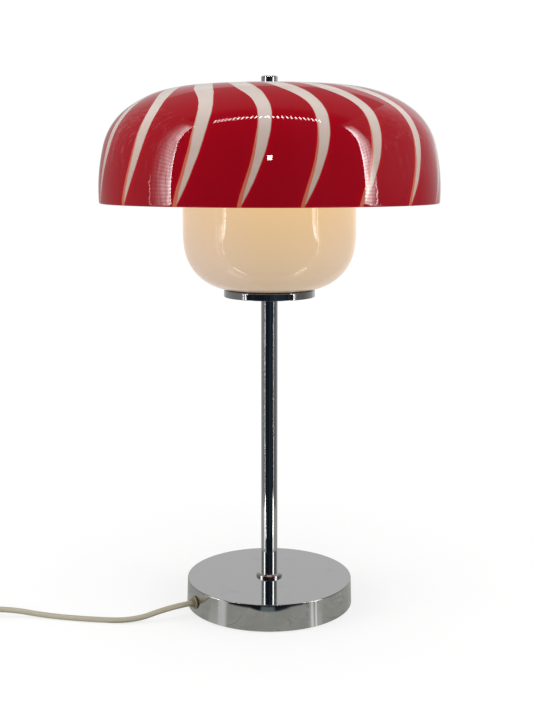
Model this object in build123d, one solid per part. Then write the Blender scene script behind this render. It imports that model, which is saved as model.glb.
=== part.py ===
from build123d import *
import os
from math import acos, asin, cos, degrees, dist, hypot, pi, radians, sin, sqrt, tan

os.makedirs("parts", exist_ok=True)

# Table lamp: round weighted base, tubular stem, open opal diffuser on a small plate, and a domed
# glass shade that a harp and a finial nut hold over it. Millimetres, +Z up. The origin is on the
# table, on the axis that the base, stem, diffuser and shade share.

# ---- Driving dimensions -------------------------------------------------------------------------

# Fits that many pieces share.
slip = 0.05            # radial clearance of a shaft, screw or thread in its hole
seat_gap = 0.02        # air between a curved face and the flat face that seats on it

# Base.
base_height = 24.85
base_top_radius = 76.15
base_flare = 0.75      # the foot's radius is this much larger than the top's
base_edge_round = 1.0
cover_wall = 1.0
cover_lift = 0.8       # the cover's lower edge stands this far off the table
pad_thickness = 1.5
pad_margin = 1.6       # the pad stops this far inside the bottom plate's edge
bottom_plate_thickness = 2.0
bottom_plate_gap = 0.5
weight_lift = 5.35     # air between the bottom plate and the weight
weight_gap = 0.5
pocket_radius = 17.0
pocket_depth = 8.0
boss_radius = 7.0
boss_circle = 52.0
screw_count = 3
screw_radius = 2.0
screw_head_radius = 3.6
screw_length = 10.0

# Cord and the place where it leaves the base.
cord_diameter = 5.0
exit_azimuth = 208.7   # degrees from +X towards +Y
exit_height = 12.0
exit_run = 22.0        # the cord runs straight out of the grommet for this far
lead_slot_side = 0.6   # air each side of the grommet's nut in the weight's slot
grommet_flange_radius = 5.9
grommet_flange_thickness = 1.2
grommet_boss_radius = 4.2
grommet_boss_tip_radius = 3.7
grommet_boss_length = 3.0
grommet_neck_radius = 4.0
grommet_nut_radius = 6.0
grommet_nut_thickness = 3.0
cord_clamp_length = 10.0
cord_clamp_reach = 10.0    # from the grommet's nut to the clamp
sheath_end_reach = 6.0     # from the clamp to the stripped end of the sheath
wire_radius = 0.9
wire_spacing = 3.2
wire_bend = 3.0
wire_straight = 8.0        # from the stripped sheath to the wire's first bend

# Rod and stem.
rod_radius = 4.95
rod_bore_radius = 4.0
rod_tail = 2.0             # rod below the base nut
stem_radius = 7.5
stem_wall = 1.5
stem_length = 262.0
collar_radius = 12.25
collar_height = 3.3
collar_round = 0.66
nut_across_flats = 17.0
nut_corner_share = 1.11    # radius that trims a nut's corners, over half its width
base_nut_height = 5.0
base_washer_radius = 14.0
base_washer_thickness = 1.5
lock_washer_radius = 8.5
lock_washer_thickness = 1.2

# Plate and diffuser.
plate_radius = 40.9
plate_height = 6.2
plate_wall = 2.4
plate_hub_radius = 12.0
plate_edge_round = 0.6
gasket_outer_radius = 32.0
gasket_inner_radius = 24.0
gasket_thickness = 0.5
diffuser_radius = 77.2
diffuser_height = 111.6
diffuser_wall = 3.0
diffuser_foot_radius = 42.8    # bend radius at the bottom
diffuser_side_radius = 85.2    # bend radius where the side starts to turn in
diffuser_side_angle = 10.07    # degrees that the side bend covers
diffuser_hole_radius = 6.0
diffuser_lip_round = 1.2
clamp_gasket_radius = 20.0
clamp_gasket_thickness = 1.0
clamp_washer_radius = 18.0
clamp_washer_thickness = 1.5
clamp_nut_height = 4.0

# Shade. Its section is a chain of arcs from the rim to the crown, each given by its bend radius
# and the angle of its normal above the horizontal at which it hands over to the next.
shade_radius = 150.06
shade_rim_height = 370.2
shade_widest_above_rim = 9.69
shade_bend_radii = [167.0, 55.89, 91.34]
shade_bend_ends = [13.82, 52.6, 84.94]     # degrees above the horizontal
shade_wall = 4.0
shade_rim_round = 1.4
shade_hole_radius = 5.0

# Harp, stud and finial.
saddle_half_length = 32.0
saddle_width = 14.0
saddle_thickness = 2.0
socket_reach = 26.0        # from the axis to each socket of the saddle
socket_radius = 4.0
socket_height = 10.0
harp_wire_radius = 1.8
harp_half_width = 41.0
harp_shoulder = 44.0       # from the wire's wide stretch up to its top
harp_top_half = 16.0
harp_foot_straight = 17.0
harp_flare_height = 30.0
harp_bends = [15.0, 25.0, 25.0, 8.0]
harp_boss_radius = 8.0
harp_boss_below = 4.0
harp_boss_above = 6.5
stud_radius = 2.95
stud_depth = 4.0
support_radius = 15.0
support_thickness = 2.0
lower_washer_radius = 12.0
lower_washer_thickness = 1.5
upper_washer_radius = 6.8
upper_washer_thickness = 0.8
finial_radius = 7.3
finial_height = 6.4
finial_round = 1.7
finial_bore_depth = 5.0
stud_in_finial = 4.7

# Lampholder.
holder_neck_radius = 8.0
holder_neck_height = 5.0
holder_cap_radius = 18.5
holder_cap_wall = 2.0
holder_cone_height = 12.0
holder_skirt_height = 12.0
holder_floor = 1.5
holder_grip = 8.0          # stretch of the cap's skirt that the body screws over
holder_body_wall = 2.0
holder_body_height = 30.0
insert_height = 10.0
terminal_side = 4.0
terminal_height = 6.0
terminal_reach = 6.5
shell_radius = 13.75
shell_wall = 0.5
shell_height = 18.0
shell_lip = 4.0
contact_radius = 4.0
contact_height = 2.6

# Bulb.
bulb_radius = 30.0
bulb_length = 106.0
bulb_wall = 0.8
bulb_turn_in = 35.0        # degrees below the bulb's equator where the neck's curve starts
bulb_neck_radius = 12.4
bulb_neck_overlap = 2.5
bulb_cap_radius = 13.0
bulb_cap_wall = 0.5
bulb_tip_radius = 4.5
bulb_tip_height = 1.2
bulb_insulator_height = 4.0
bulb_insulator_top_radius = 9.0
bulb_stem_radius = 3.0
bulb_stem_height = 26.0
bulb_stem_base = 1.5
filament_count = 4
filament_radius = 0.9
filament_length = 34.0
filament_low_reach = 3.6
filament_top_reach = 8.6
filament_plate = 0.8

# Switch on the cord.
switch_x, switch_y = -283.0, -42.0
switch_length = 62.0
switch_width = 25.0
switch_height = 20.0
switch_seam_height = 8.0
switch_wall = 2.0
switch_top_round = 3.5
switch_bottom_round = 1.5
rocker_tilt = 8.0          # degrees each way from level
rocker_radius = 9.6
rocker_width = 11.4
rocker_side_gap = 0.3
rocker_end_gap = 0.35
rocker_rise = 3.9          # from the axle up to the valley of the rocker's top
rocker_drop = 3.0
rocker_cam_width = 3.0
rocker_cam_drop = 8.0
rocker_cam_margin = 2.0    # the cam is this much narrower than the rocker on each side
axle_height = 16.5
axle_radius = 1.0
axle_rib_thickness = 2.0
axle_rib_half_length = 4.0
axle_rib_drop = 5.0
switch_screw_x, switch_screw_y = 18.0, 7.5
switch_screw_radius = 1.25
switch_screw_head_radius = 2.3
switch_screw_head_height = 1.4
switch_screw_length = 12.0
switch_boss_radius = 2.6
terminal_block_x = 12.0
terminal_block_length = 4.0
terminal_block_width = 7.0
terminal_block_top = 6.9
leaf_thickness = 0.6
leaf_gap = 0.8

# Two-pin plug.
plug_width = 35.3
plug_thickness = 13.7
plug_body_length = 32.0
plug_rear_width = 15.0
plug_rear_thickness = 10.5
plug_corner = 4.5
plug_taper_length = 17.6   # stretch of the body that widens from its rear to its full width
plug_relief_length = 12.0
plug_relief_radius = 4.6
plug_relief_tip_radius = 3.4
pin_radius = 2.0
pin_length = 19.0
pin_spacing = 18.6
pin_tip_round = 1.0
pin_root_radius = 1.6
pin_root_length = 8.0

# Coil of put-away cord: quarter turns, clockwise seen from above, in layers that spiral in and
# out in turn and climb in the two quarters where the spiral turns back.
coil_x, coil_y = -366.0, -7.7
coil_run = 18.0            # straight run into the coil
coil_run_out = 22.0        # straight run out of the coil
coil_start_radius = 34.3
coil_pitch = 5.7           # radial step per turn
coil_layer_pitch = 5.6
coil_flat_quarters = 6
coil_climb_quarters = 2
coil_quarters = 29
coil_start_azimuth = -90.0
coil_gap_samples = 24      # points a quarter turn at which the coil's gap to itself is measured

# ---- Heights and radii that follow --------------------------------------------------------------

cord_radius = cord_diameter / 2
base_foot_radius = base_top_radius + base_flare
bottom_plate_top = pad_thickness + bottom_plate_thickness
weight_top = base_height - cover_wall
weight_bottom = bottom_plate_top + weight_lift
pocket_top = weight_bottom + pocket_depth
base_washer_bottom = pocket_top - base_washer_thickness
lock_washer_bottom = base_washer_bottom - lock_washer_thickness
base_nut_bottom = lock_washer_bottom - base_nut_height
rod_bottom = base_nut_bottom - rod_tail
rod_hole_radius = rod_radius + 3 * slip

plate_bottom = base_height + stem_length
plate_top = plate_bottom + plate_height
diffuser_bottom = plate_top + gasket_thickness
clamp_gasket_bottom = diffuser_bottom + diffuser_wall
clamp_washer_bottom = clamp_gasket_bottom + clamp_gasket_thickness
clamp_nut_bottom = clamp_washer_bottom + clamp_washer_thickness
saddle_bottom = clamp_nut_bottom + clamp_nut_height
saddle_top = saddle_bottom + saddle_thickness

holder_bottom = saddle_top
holder_cone_bottom = holder_bottom + holder_neck_height
holder_skirt_bottom = holder_cone_bottom + holder_cone_height
holder_cap_top = holder_skirt_bottom + holder_skirt_height
holder_pocket_bottom = holder_cone_bottom + holder_floor
rod_top = holder_pocket_bottom
insert_bottom = holder_skirt_bottom + holder_cap_wall
insert_top = insert_bottom + insert_height
shell_inner_radius = shell_radius - shell_wall
bulb_bottom = insert_top + contact_height + seat_gap


def cover_radius_at(height):
    """Outer radius of the base cover, which widens evenly towards the table."""
    share = (base_height - height) / (base_height - cover_lift)
    return base_top_radius + share * (base_foot_radius - base_top_radius)


# ---- Building blocks ----------------------------------------------------------------------------


def disc(radius, low, high):
    """Round disc or rod on the axis, between two heights."""
    on_floor = (Align.CENTER, Align.CENTER, Align.MIN)
    return Pos(0, 0, low) * Cylinder(radius, high - low, align=on_floor)


def ring(outer_radius, inner_radius, low, high):
    """Disc with a hole through it."""
    return disc(outer_radius, low, high) - disc(inner_radius, low - 1, high + 1)


def cone(low_radius, high_radius, low, high):
    """Round taper on the axis."""
    on_floor = (Align.CENTER, Align.CENTER, Align.MIN)
    return Pos(0, 0, low) * Cone(low_radius, high_radius, high - low, align=on_floor)


def hex_nut(height, low):
    """Hexagon nut on the rod."""
    blank = Pos(0, 0, low) * extrude(
        RegularPolygon(nut_across_flats / 2, 6, major_radius=False), height
    )
    corner_trim = disc(nut_across_flats / 2 * nut_corner_share, low, low + height)
    return blank & corner_trim - disc(rod_radius + slip, low - 1, low + height + 1)


def turned(outline):
    """Solid turned about the axis from a list of edges that closes in the XZ plane."""
    return revolve(make_face(Wire(outline)), Axis.Z)


def turned_polygon(corners):
    """Solid turned about the axis from (radius, height) corners."""
    return revolve(make_face(Polyline([(r, 0, z) for r, z in corners], close=True)), Axis.Z)


def arc(centre, radius, start, end):
    """Arc in the XZ plane about a centre (radius, height), between two angles in degrees."""
    at = [radians(start + share * (end - start)) for share in (0, 0.5, 1)]
    points = [(centre[0] + radius * cos(a), 0, centre[1] + radius * sin(a)) for a in at]
    return ThreePointArc(*points)


def straight(start, end):
    """Line in the XZ plane between the end of one edge and the start of the next."""
    return Line(start, end)


def bend_radii(points):
    """Radius of the arc at each inner point: as large as the two runs beside it allow."""
    radii = []
    for before, here, after in zip(points, points[1:], points[2:]):
        run_in = Vector(*here) - Vector(*before)
        run_out = Vector(*after) - Vector(*here)
        half_turn = radians(run_in.get_angle(run_out)) / 2
        radii.append(0.45 * min(run_in.length, run_out.length) / tan(half_turn))
    return radii


def swept(path, radius):
    """Round rod or cable along a path."""
    start = Plane(origin=path @ 0, z_dir=path % 0)
    return sweep(start * Circle(radius), path=path)


def cable(name, points):
    """Free stretch of the cord, with its bends and its length printed."""
    radii = bend_radii(points)
    path = FilletPolyline(*points, radius=radii)
    tube = swept(path, cord_radius)
    expected = path.length * pi * cord_radius**2
    print(name, "radii", [round(r, 1) for r in radii], "length", round(path.length, 1),
          "volume over section times length", round(tube.volume / expected, 5))
    return tube, path.length


def group(solids):
    """Several separate solids that share one node."""
    return Compound(children=list(solids))


# ---- Base ---------------------------------------------------------------------------------------

# Local +Z of this plane runs straight out of the base along the cord's exit.
exit_direction = (cos(radians(exit_azimuth)), sin(radians(exit_azimuth)), 0)
exit_frame = Plane(origin=(0, 0, exit_height), x_dir=(0, 0, 1), z_dir=exit_direction)

flange_face = cover_radius_at(exit_height - grommet_flange_radius) + seat_gap
cord_exit_distance = flange_face + grommet_flange_thickness + grommet_boss_length
nut_clear_radius = cover_radius_at(exit_height + grommet_nut_radius) - cover_wall
grommet_nut_face = sqrt(nut_clear_radius**2 - grommet_nut_radius**2) - seat_gap
grommet_nut_back = grommet_nut_face - grommet_nut_thickness
clamp_outer = grommet_nut_back - cord_clamp_reach + cord_clamp_length / 2
clamp_inner = clamp_outer - cord_clamp_length
sheath_end = clamp_inner - sheath_end_reach
slot_width = 2 * (grommet_nut_radius + lead_slot_side)
slot_top = exit_height + grommet_nut_radius + lead_slot_side


def screw_places():
    """Azimuths of the bottom screws: evenly spaced, with the cord's slot midway between two."""
    step = 360 / screw_count
    return [exit_azimuth + step / 2 + k * step for k in range(screw_count)]


def slot_block(inner, outer, width, low, high):
    """Block that lies along the cord's exit between two distances from the axis."""
    block = Box(outer - inner, width, high - low, align=(Align.MIN, Align.CENTER, Align.MIN))
    return Rot(0, 0, exit_azimuth) * Pos(inner, 0, low) * block


def make_base():
    """Foot pad, bottom plate, ballast weight, chromed cover and the screws that join them."""
    plate_radius_here = cover_radius_at(pad_thickness) - cover_wall - bottom_plate_gap
    pad = disc(plate_radius_here - pad_margin, 0, pad_thickness)

    weight_radius = cover_radius_at(weight_top) - cover_wall - weight_gap
    weight = disc(weight_radius, weight_bottom, weight_top)
    weight -= disc(rod_hole_radius, 0, base_height)
    weight -= disc(pocket_radius, 0, pocket_top)
    weight -= slot_block(pocket_radius - 1, weight_radius + 1, slot_width, 0, slot_top)
    bottom_plate = disc(plate_radius_here, pad_thickness, bottom_plate_top)

    head_height = screw_head_radius - screw_radius
    screws = []
    for azimuth in screw_places():
        place = Rot(0, 0, azimuth) * Pos(boss_circle, 0, 0)
        screw_top = pad_thickness + screw_length
        shank = disc(screw_radius, pad_thickness, screw_top)
        head = cone(screw_head_radius, screw_radius, pad_thickness, pad_thickness + head_height)
        weight += place * disc(boss_radius, bottom_plate_top, weight_bottom + 1)
        weight -= place * disc(screw_radius + slip, 0, screw_top + 1)
        bottom_plate -= place * disc(screw_radius + slip, 0, base_height)
        bottom_plate -= place * cone(
            screw_head_radius + slip, screw_radius + slip, pad_thickness, pad_thickness + head_height
        )
        screws.append(place * (shank + head))

    shell = turned_polygon([
        (0, base_height),
        (base_top_radius, base_height),
        (base_foot_radius, cover_lift),
        (base_foot_radius - cover_wall, cover_lift),
        (cover_radius_at(weight_top) - cover_wall, weight_top),
        (0, weight_top),
    ])
    top_edge = shell.edges().filter_by(GeomType.CIRCLE).group_by(Axis.Z)[-1]
    shell = fillet(top_edge, base_edge_round)
    shell -= disc(rod_hole_radius, 0, base_height + 1)
    shell -= exit_frame * disc(grommet_neck_radius + slip, base_top_radius / 2, flange_face)
    return {
        "foot_pad": pad,
        "base_bottom_plate": bottom_plate,
        "base_screws": group(screws),
        "base_weight": weight,
        "base_cover": shell,
    }


def make_cord_exit():
    """Grommet through the cover, its nut, the clamp that grips the sheath, and the leads inside."""
    flange_end = flange_face + grommet_flange_thickness
    bore = disc(cord_radius + slip, clamp_inner - 1, cord_exit_distance + 1)
    grommet = disc(grommet_flange_radius, flange_face, flange_end)
    grommet += cone(grommet_boss_radius, grommet_boss_tip_radius, flange_end, cord_exit_distance)
    grommet += disc(grommet_neck_radius, grommet_nut_back - 1, flange_face)
    nut = ring(grommet_nut_radius, grommet_neck_radius + slip, grommet_nut_back, grommet_nut_face)
    clamp = slot_block(clamp_inner, clamp_outer, slot_width - 2 * slip, weight_bottom, slot_top)
    return {
        "cord_grommet": exit_frame * (grommet - bore),
        "grommet_nut": exit_frame * nut,
        "cord_clamp": clamp - exit_frame * bore,
        "cord_inside_base": exit_frame * disc(cord_radius, sheath_end, cord_exit_distance),
    }


def make_wire(side):
    """One conductor, from the stripped sheath under the rod and up its bore to a terminal."""
    low = (bottom_plate_top + rod_bottom) / 2
    offset = side * wire_spacing / 2
    start = side * cord_radius / 2
    along, across = exit_direction[:2], (-exit_direction[1], exit_direction[0])

    def at(distance, sideways, height):
        x = distance * along[0] + sideways * across[0]
        y = distance * along[1] + sideways * across[1]
        return (x, y, height)

    flare = terminal_reach - wire_spacing / 2
    points = [
        at(sheath_end, start, exit_height),
        at(sheath_end - wire_straight, start, exit_height),
        at(pocket_radius, offset, low),
        at(0, offset, low),
        at(0, offset, rod_top + wire_radius),
        at(0, offset + side * flare, insert_bottom - terminal_height - wire_bend),
        at(0, offset + side * flare, insert_bottom - terminal_height),
    ]
    bends = [wire_bend, wire_bend, wire_bend, wire_bend / 2, wire_bend / 2]
    return swept(FilletPolyline(*points, radius=bends), wire_radius)


# ---- Rod and stem -------------------------------------------------------------------------------


def make_stem():
    """Hollow rod from base to lampholder, with the tube, collar, washers and nut that it draws up."""
    collar = ring(collar_radius, stem_radius + slip, base_height, base_height + collar_height)
    collar_rim = collar.edges().filter_by(GeomType.CIRCLE).group_by(Axis.Z)[-1].sort_by(SortBy.RADIUS)
    collar = fillet(collar_rim[-1], collar_round)
    washer_hole = rod_radius + slip
    return {
        "threaded_rod": ring(rod_radius, rod_bore_radius, rod_bottom, rod_top),
        "stem_tube": ring(stem_radius, stem_radius - stem_wall, base_height, plate_bottom),
        "stem_collar": collar,
        "base_washer": ring(base_washer_radius, washer_hole, base_washer_bottom, pocket_top),
        "base_lock_washer": ring(
            lock_washer_radius, washer_hole, lock_washer_bottom, base_washer_bottom
        ),
        "base_nut": hex_nut(base_nut_height, base_nut_bottom),
    }


# ---- Plate and diffuser -------------------------------------------------------------------------

foot_centre_radius = (
    diffuser_radius
    - diffuser_side_radius
    + (diffuser_side_radius - diffuser_foot_radius) * cos(radians(diffuser_side_angle))
)
side_centre_rise = diffuser_foot_radius + (
    diffuser_side_radius - diffuser_foot_radius
) * sin(radians(diffuser_side_angle))


def diffuser_section(inset):
    """Edges of the diffuser's section from its bottom hole to its top, moved in by its wall."""
    foot_centre = (foot_centre_radius, diffuser_bottom + diffuser_foot_radius)
    side_centre = (diffuser_radius - diffuser_side_radius, diffuser_bottom + side_centre_rise)
    foot = arc(foot_centre, diffuser_foot_radius - inset, -90, -diffuser_side_angle)
    side = arc(side_centre, diffuser_side_radius - inset, -diffuser_side_angle, 0)
    top = diffuser_bottom + diffuser_height
    floor = straight((diffuser_hole_radius, 0, diffuser_bottom + inset), foot @ 0)
    wall = straight(side @ 1, (diffuser_radius - inset, 0, top))
    return [floor, foot, side, wall]


def make_diffuser():
    """Plate with its gasket, the opal diffuser, and what clamps it down."""
    plate = disc(plate_radius, plate_bottom, plate_top)
    rims = plate.edges().filter_by(GeomType.CIRCLE)
    plate = fillet(rims, plate_edge_round)
    recess_top = plate_top - plate_wall
    plate -= ring(plate_radius - plate_wall, plate_hub_radius, plate_bottom - 1, recess_top)
    plate -= disc(rod_hole_radius, plate_bottom - 1, plate_top + 1)

    outer, inner = diffuser_section(0), diffuser_section(diffuser_wall)
    ends = [straight(outer[0] @ 0, inner[0] @ 0), straight(outer[-1] @ 1, inner[-1] @ 1)]
    glass = turned(outer + inner + ends)
    top_rims = glass.edges().filter_by(GeomType.CIRCLE).group_by(Axis.Z)[-1]
    glass = fillet(top_rims, diffuser_lip_round)

    washer_hole = rod_radius + slip
    return {
        "gallery_plate": plate,
        "plate_gasket": ring(gasket_outer_radius, gasket_inner_radius, plate_top, diffuser_bottom),
        "diffuser_glass": glass,
        "clamp_gasket": ring(
            clamp_gasket_radius, washer_hole, clamp_gasket_bottom, clamp_washer_bottom
        ),
        "clamp_washer": ring(
            clamp_washer_radius, washer_hole, clamp_washer_bottom, clamp_nut_bottom
        ),
        "clamp_nut": hex_nut(clamp_nut_height, clamp_nut_bottom),
    }


# ---- Shade --------------------------------------------------------------------------------------


def shade_chain(inset):
    """(centre, radius, start angle, end angle) of each arc of the dome's section, rim to crown.

    Each arc is tangent to the next, and the last one closes on the axis. An inset moves the
    section inwards along its normals, with the same centres and end angles.
    """
    chain = []
    bends = list(zip(shade_bend_radii, shade_bend_ends))
    radius, end = bends[0]
    centre = (shade_radius - radius, shade_rim_height + shade_widest_above_rim)
    start = -degrees(asin(shade_widest_above_rim / (radius - inset)))
    for next_radius, next_end in bends[1:] + [(None, None)]:
        chain.append((centre, radius - inset, start, end))
        direction = (cos(radians(end)), sin(radians(end)))
        crown = next_radius is None
        new_radius = radius + centre[0] / direction[0] if crown else next_radius
        step = radius - new_radius
        centre = (0 if crown else centre[0] + step * direction[0], centre[1] + step * direction[1])
        radius, start, end = new_radius, end, next_end
    hole_angle = degrees(acos(shade_hole_radius / (radius - inset)))
    chain.append((centre, radius - inset, start, hole_angle))
    return chain


def crown_height(inset, radius):
    """Height of the crown's face at a distance from the axis."""
    centre, crown_radius = shade_chain(inset)[-1][:2]
    return centre[1] + sqrt(crown_radius**2 - radius**2)


lower_washer_top = crown_height(shade_wall, lower_washer_radius) - seat_gap
support_top = lower_washer_top - lower_washer_thickness
harp_boss_top = support_top - support_thickness
harp_top = harp_boss_top - harp_boss_above
upper_washer_bottom = crown_height(0, shade_hole_radius) + seat_gap
finial_bottom = upper_washer_bottom + upper_washer_thickness
stud_hole_radius = stud_radius + slip


def make_shade():
    """Domed glass shade and the soft bush in its crown hole."""
    outer = [arc(*piece) for piece in shade_chain(0)]
    inner = [arc(*piece) for piece in shade_chain(shade_wall)]
    ends = [straight(outer[0] @ 0, inner[0] @ 0), straight(outer[-1] @ 1, inner[-1] @ 1)]
    glass = turned(outer + inner + ends)
    rims = glass.edges().filter_by(GeomType.CIRCLE).group_by(Axis.Z)[0]
    glass = fillet(rims, shade_rim_round)
    bush = ring(
        shade_hole_radius - slip, stud_hole_radius + 2 * slip,
        lower_washer_top, crown_height(0, shade_hole_radius),
    )
    return {"shade_glass": glass, "shade_bush": bush}


# ---- Harp and finial ----------------------------------------------------------------------------


def make_harp():
    """Saddle on the rod, wire harp round the bulb, boss and stud, and what the shade rests on."""
    saddle = Pos(0, 0, saddle_bottom) * extrude(
        SlotOverall(2 * saddle_half_length, saddle_width), saddle_thickness
    )
    for side in (-1, 1):
        place = Pos(side * socket_reach, 0, 0)
        saddle += place * disc(socket_radius, saddle_top - 1, saddle_top + socket_height)
        saddle -= place * disc(harp_wire_radius + slip, saddle_bottom - 1, harp_top)
    saddle -= disc(rod_radius + slip, saddle_bottom - 1, saddle_top + 1)

    wide_bottom = saddle_bottom + harp_foot_straight + harp_flare_height
    left_leg = [
        (-socket_reach, 0, saddle_bottom),
        (-socket_reach, 0, saddle_bottom + harp_foot_straight),
        (-harp_half_width, 0, wide_bottom),
        (-harp_half_width, 0, harp_top - harp_shoulder),
        (-harp_top_half, 0, harp_top),
    ]
    right_leg = [(-x, y, z) for x, y, z in reversed(left_leg)]
    bends = harp_bends + harp_bends[::-1]
    wire = swept(FilletPolyline(*(left_leg + right_leg), radius=bends), harp_wire_radius)

    boss = disc(harp_boss_radius, harp_top - harp_boss_below, harp_boss_top)
    cross_hole = Plane.YZ * Cylinder(harp_wire_radius + slip, 4 * harp_boss_radius)
    boss -= Pos(0, 0, harp_top) * cross_hole
    boss -= disc(stud_hole_radius, harp_boss_top - stud_depth, harp_boss_top + 1)
    return {
        "harp_saddle": saddle,
        "harp_wire": wire,
        "harp_boss": boss,
        "shade_stud": disc(stud_radius, harp_boss_top - stud_depth, finial_bottom + stud_in_finial),
        "shade_support": ring(support_radius, stud_hole_radius, harp_boss_top, support_top),
        "shade_washer_lower": ring(
            lower_washer_radius, stud_hole_radius, support_top, lower_washer_top
        ),
    }


def make_finial():
    """Round cap nut on top of the shade, and the washer that it presses down."""
    nut = disc(finial_radius, finial_bottom, finial_bottom + finial_height)
    nut = fillet(nut.edges().filter_by(GeomType.CIRCLE).group_by(Axis.Z)[-1], finial_round)
    nut -= disc(stud_hole_radius, finial_bottom - 1, finial_bottom + finial_bore_depth)
    washer = ring(upper_washer_radius, stud_hole_radius, upper_washer_bottom, finial_bottom)
    return {"finial_nut": nut, "shade_washer_upper": washer}


# ---- Lampholder and bulb ------------------------------------------------------------------------


def make_lampholder():
    """Cap on the rod, insulating insert, threaded shell, contacts and the outer body."""
    inner = holder_cap_radius - holder_cap_wall
    cap = turned_polygon([
        (rod_radius + slip, holder_bottom),
        (holder_neck_radius, holder_bottom),
        (holder_neck_radius, holder_cone_bottom),
        (holder_cap_radius, holder_skirt_bottom),
        (holder_cap_radius, holder_cap_top),
        (inner, holder_cap_top),
        (inner, insert_bottom),
        (inner - holder_cap_wall, insert_bottom),
        (holder_neck_radius + holder_cap_wall / 2, holder_pocket_bottom),
        (rod_radius + slip, holder_pocket_bottom),
    ])
    body_outer = holder_cap_radius + holder_body_wall
    body_bottom = holder_cap_top - holder_grip
    body_top = body_bottom + holder_body_height
    mouth = (shell_radius + inner) / 2
    body = turned_polygon([
        (holder_cap_radius + slip, body_bottom),
        (body_outer, body_bottom),
        (body_outer, body_top),
        (mouth, body_top),
        (mouth, insert_top + slip),
        (holder_cap_radius + slip, insert_top + slip),
    ])
    insert = disc(inner - slip, insert_bottom, insert_top)
    terminals = []
    # The terminals stand in line with the conductors, square to the cord's exit.
    for side in (-1, 1):
        block = Box(terminal_side, terminal_side, terminal_height,
                    align=(Align.CENTER, Align.CENTER, Align.MIN))
        place = Rot(0, 0, exit_azimuth + 90) * Pos(side * terminal_reach, 0, 0)
        terminals.append(place * Pos(0, 0, insert_bottom - terminal_height) * block)
    shell = ring(shell_radius, shell_inner_radius, insert_top, insert_top + shell_height)
    shell += ring(shell_radius, shell_radius - shell_lip, insert_top, insert_top + shell_wall)
    return {
        "holder_cap": cap,
        "holder_body": body,
        "holder_insert": insert,
        "holder_terminals": group(terminals),
        "holder_shell": shell,
        "holder_contact": cone(
            contact_radius, contact_radius / 2, insert_top, insert_top + contact_height
        ),
    }


def make_bulb():
    """Screw bulb: tip, insulator, cap, glass, inner stem and filaments."""
    top = bulb_bottom + bulb_length
    centre = (0, top - bulb_radius)
    turn_in = radians(bulb_turn_in)
    # The neck's curve starts tangent to the bulb and ends upright at the neck's radius.
    neck_curve = (bulb_radius * cos(turn_in) - bulb_neck_radius) / (1 - cos(turn_in))
    neck_centre = (
        bulb_neck_radius + neck_curve,
        centre[1] - (bulb_radius + neck_curve) * sin(turn_in),
    )

    def section(inset):
        ball = arc(centre, bulb_radius - inset, 90, -bulb_turn_in)
        neck = arc(neck_centre, neck_curve + inset, 180 - bulb_turn_in, 180)
        return [ball, neck]

    outer, inner = section(0), section(bulb_wall)
    ends = [straight(outer[0] @ 0, inner[0] @ 0), straight(outer[-1] @ 1, inner[-1] @ 1)]
    glass = turned(outer + inner + ends)

    neck_bottom = neck_centre[1]
    cap_bottom = bulb_bottom + bulb_tip_height + bulb_insulator_height
    cap_top = neck_bottom + bulb_neck_overlap
    cap_inner = bulb_cap_radius - bulb_cap_wall
    cap = turned_polygon([
        (bulb_insulator_top_radius, cap_bottom),
        (bulb_cap_radius, cap_bottom + bulb_cap_radius - bulb_insulator_top_radius),
        (bulb_cap_radius, cap_top),
        (cap_inner, cap_top),
        (cap_inner, neck_bottom),
        (cap_inner - bulb_wall, neck_bottom - bulb_wall),
        (cap_inner - bulb_wall, cap_bottom + bulb_cap_radius - bulb_insulator_top_radius),
        (bulb_insulator_top_radius, cap_bottom + bulb_cap_wall),
    ])
    tip = disc(bulb_tip_radius, bulb_bottom, bulb_bottom + bulb_tip_height)
    insulator = cone(
        bulb_tip_radius, bulb_insulator_top_radius, bulb_bottom + bulb_tip_height, cap_bottom
    )

    stem_top = neck_bottom + bulb_stem_height
    low_plate_top = stem_top + filament_plate
    stem = disc(bulb_neck_radius - 2 * bulb_wall, neck_bottom - bulb_stem_base, neck_bottom)
    stem += disc(bulb_stem_radius, neck_bottom, stem_top)
    stem += disc(filament_low_reach + 2 * filament_radius, stem_top, low_plate_top)
    reach_change = filament_top_reach - filament_low_reach
    rise = sqrt(filament_length**2 - reach_change**2)
    high_plate_bottom = low_plate_top + rise
    high_plate_top = high_plate_bottom + filament_plate
    stem += disc(filament_radius, stem_top, high_plate_top)
    stem += disc(filament_top_reach + 2 * filament_radius, high_plate_bottom, high_plate_top)
    lean = degrees(asin(reach_change / filament_length))
    trim = ring(2 * filament_top_reach, filament_radius / 2, low_plate_top + slip,
                high_plate_bottom - slip)
    filaments = []
    for k in range(filament_count):
        rod = Cylinder(filament_radius, 2 * filament_length)
        middle = (filament_low_reach + filament_top_reach) / 2
        place = Rot(0, 0, 360 * k / filament_count)
        place *= Pos(middle, 0, (low_plate_top + high_plate_bottom) / 2) * Rot(0, lean, 0)
        filaments.append((place * rod) & trim)
    return {
        "bulb_glass": glass,
        "bulb_cap": cap,
        "bulb_contact": tip,
        "bulb_insulator": insulator,
        "bulb_stem": stem,
        "bulb_filaments": group(filaments),
    }


# ---- Switch on the cord -------------------------------------------------------------------------

switch_place = Pos(switch_x, switch_y, 0)
cord_end_in_switch = terminal_block_x + terminal_block_length / 2 + slip


def pill(length, width, low, high):
    """Block with round ends, on the table under the switch's middle."""
    return Pos(0, 0, low) * extrude(SlotOverall(length, width), high - low)


def across(radius, length):
    """Round rod along the switch's width, through its middle."""
    return Plane.XZ * Cylinder(radius, length)


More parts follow.
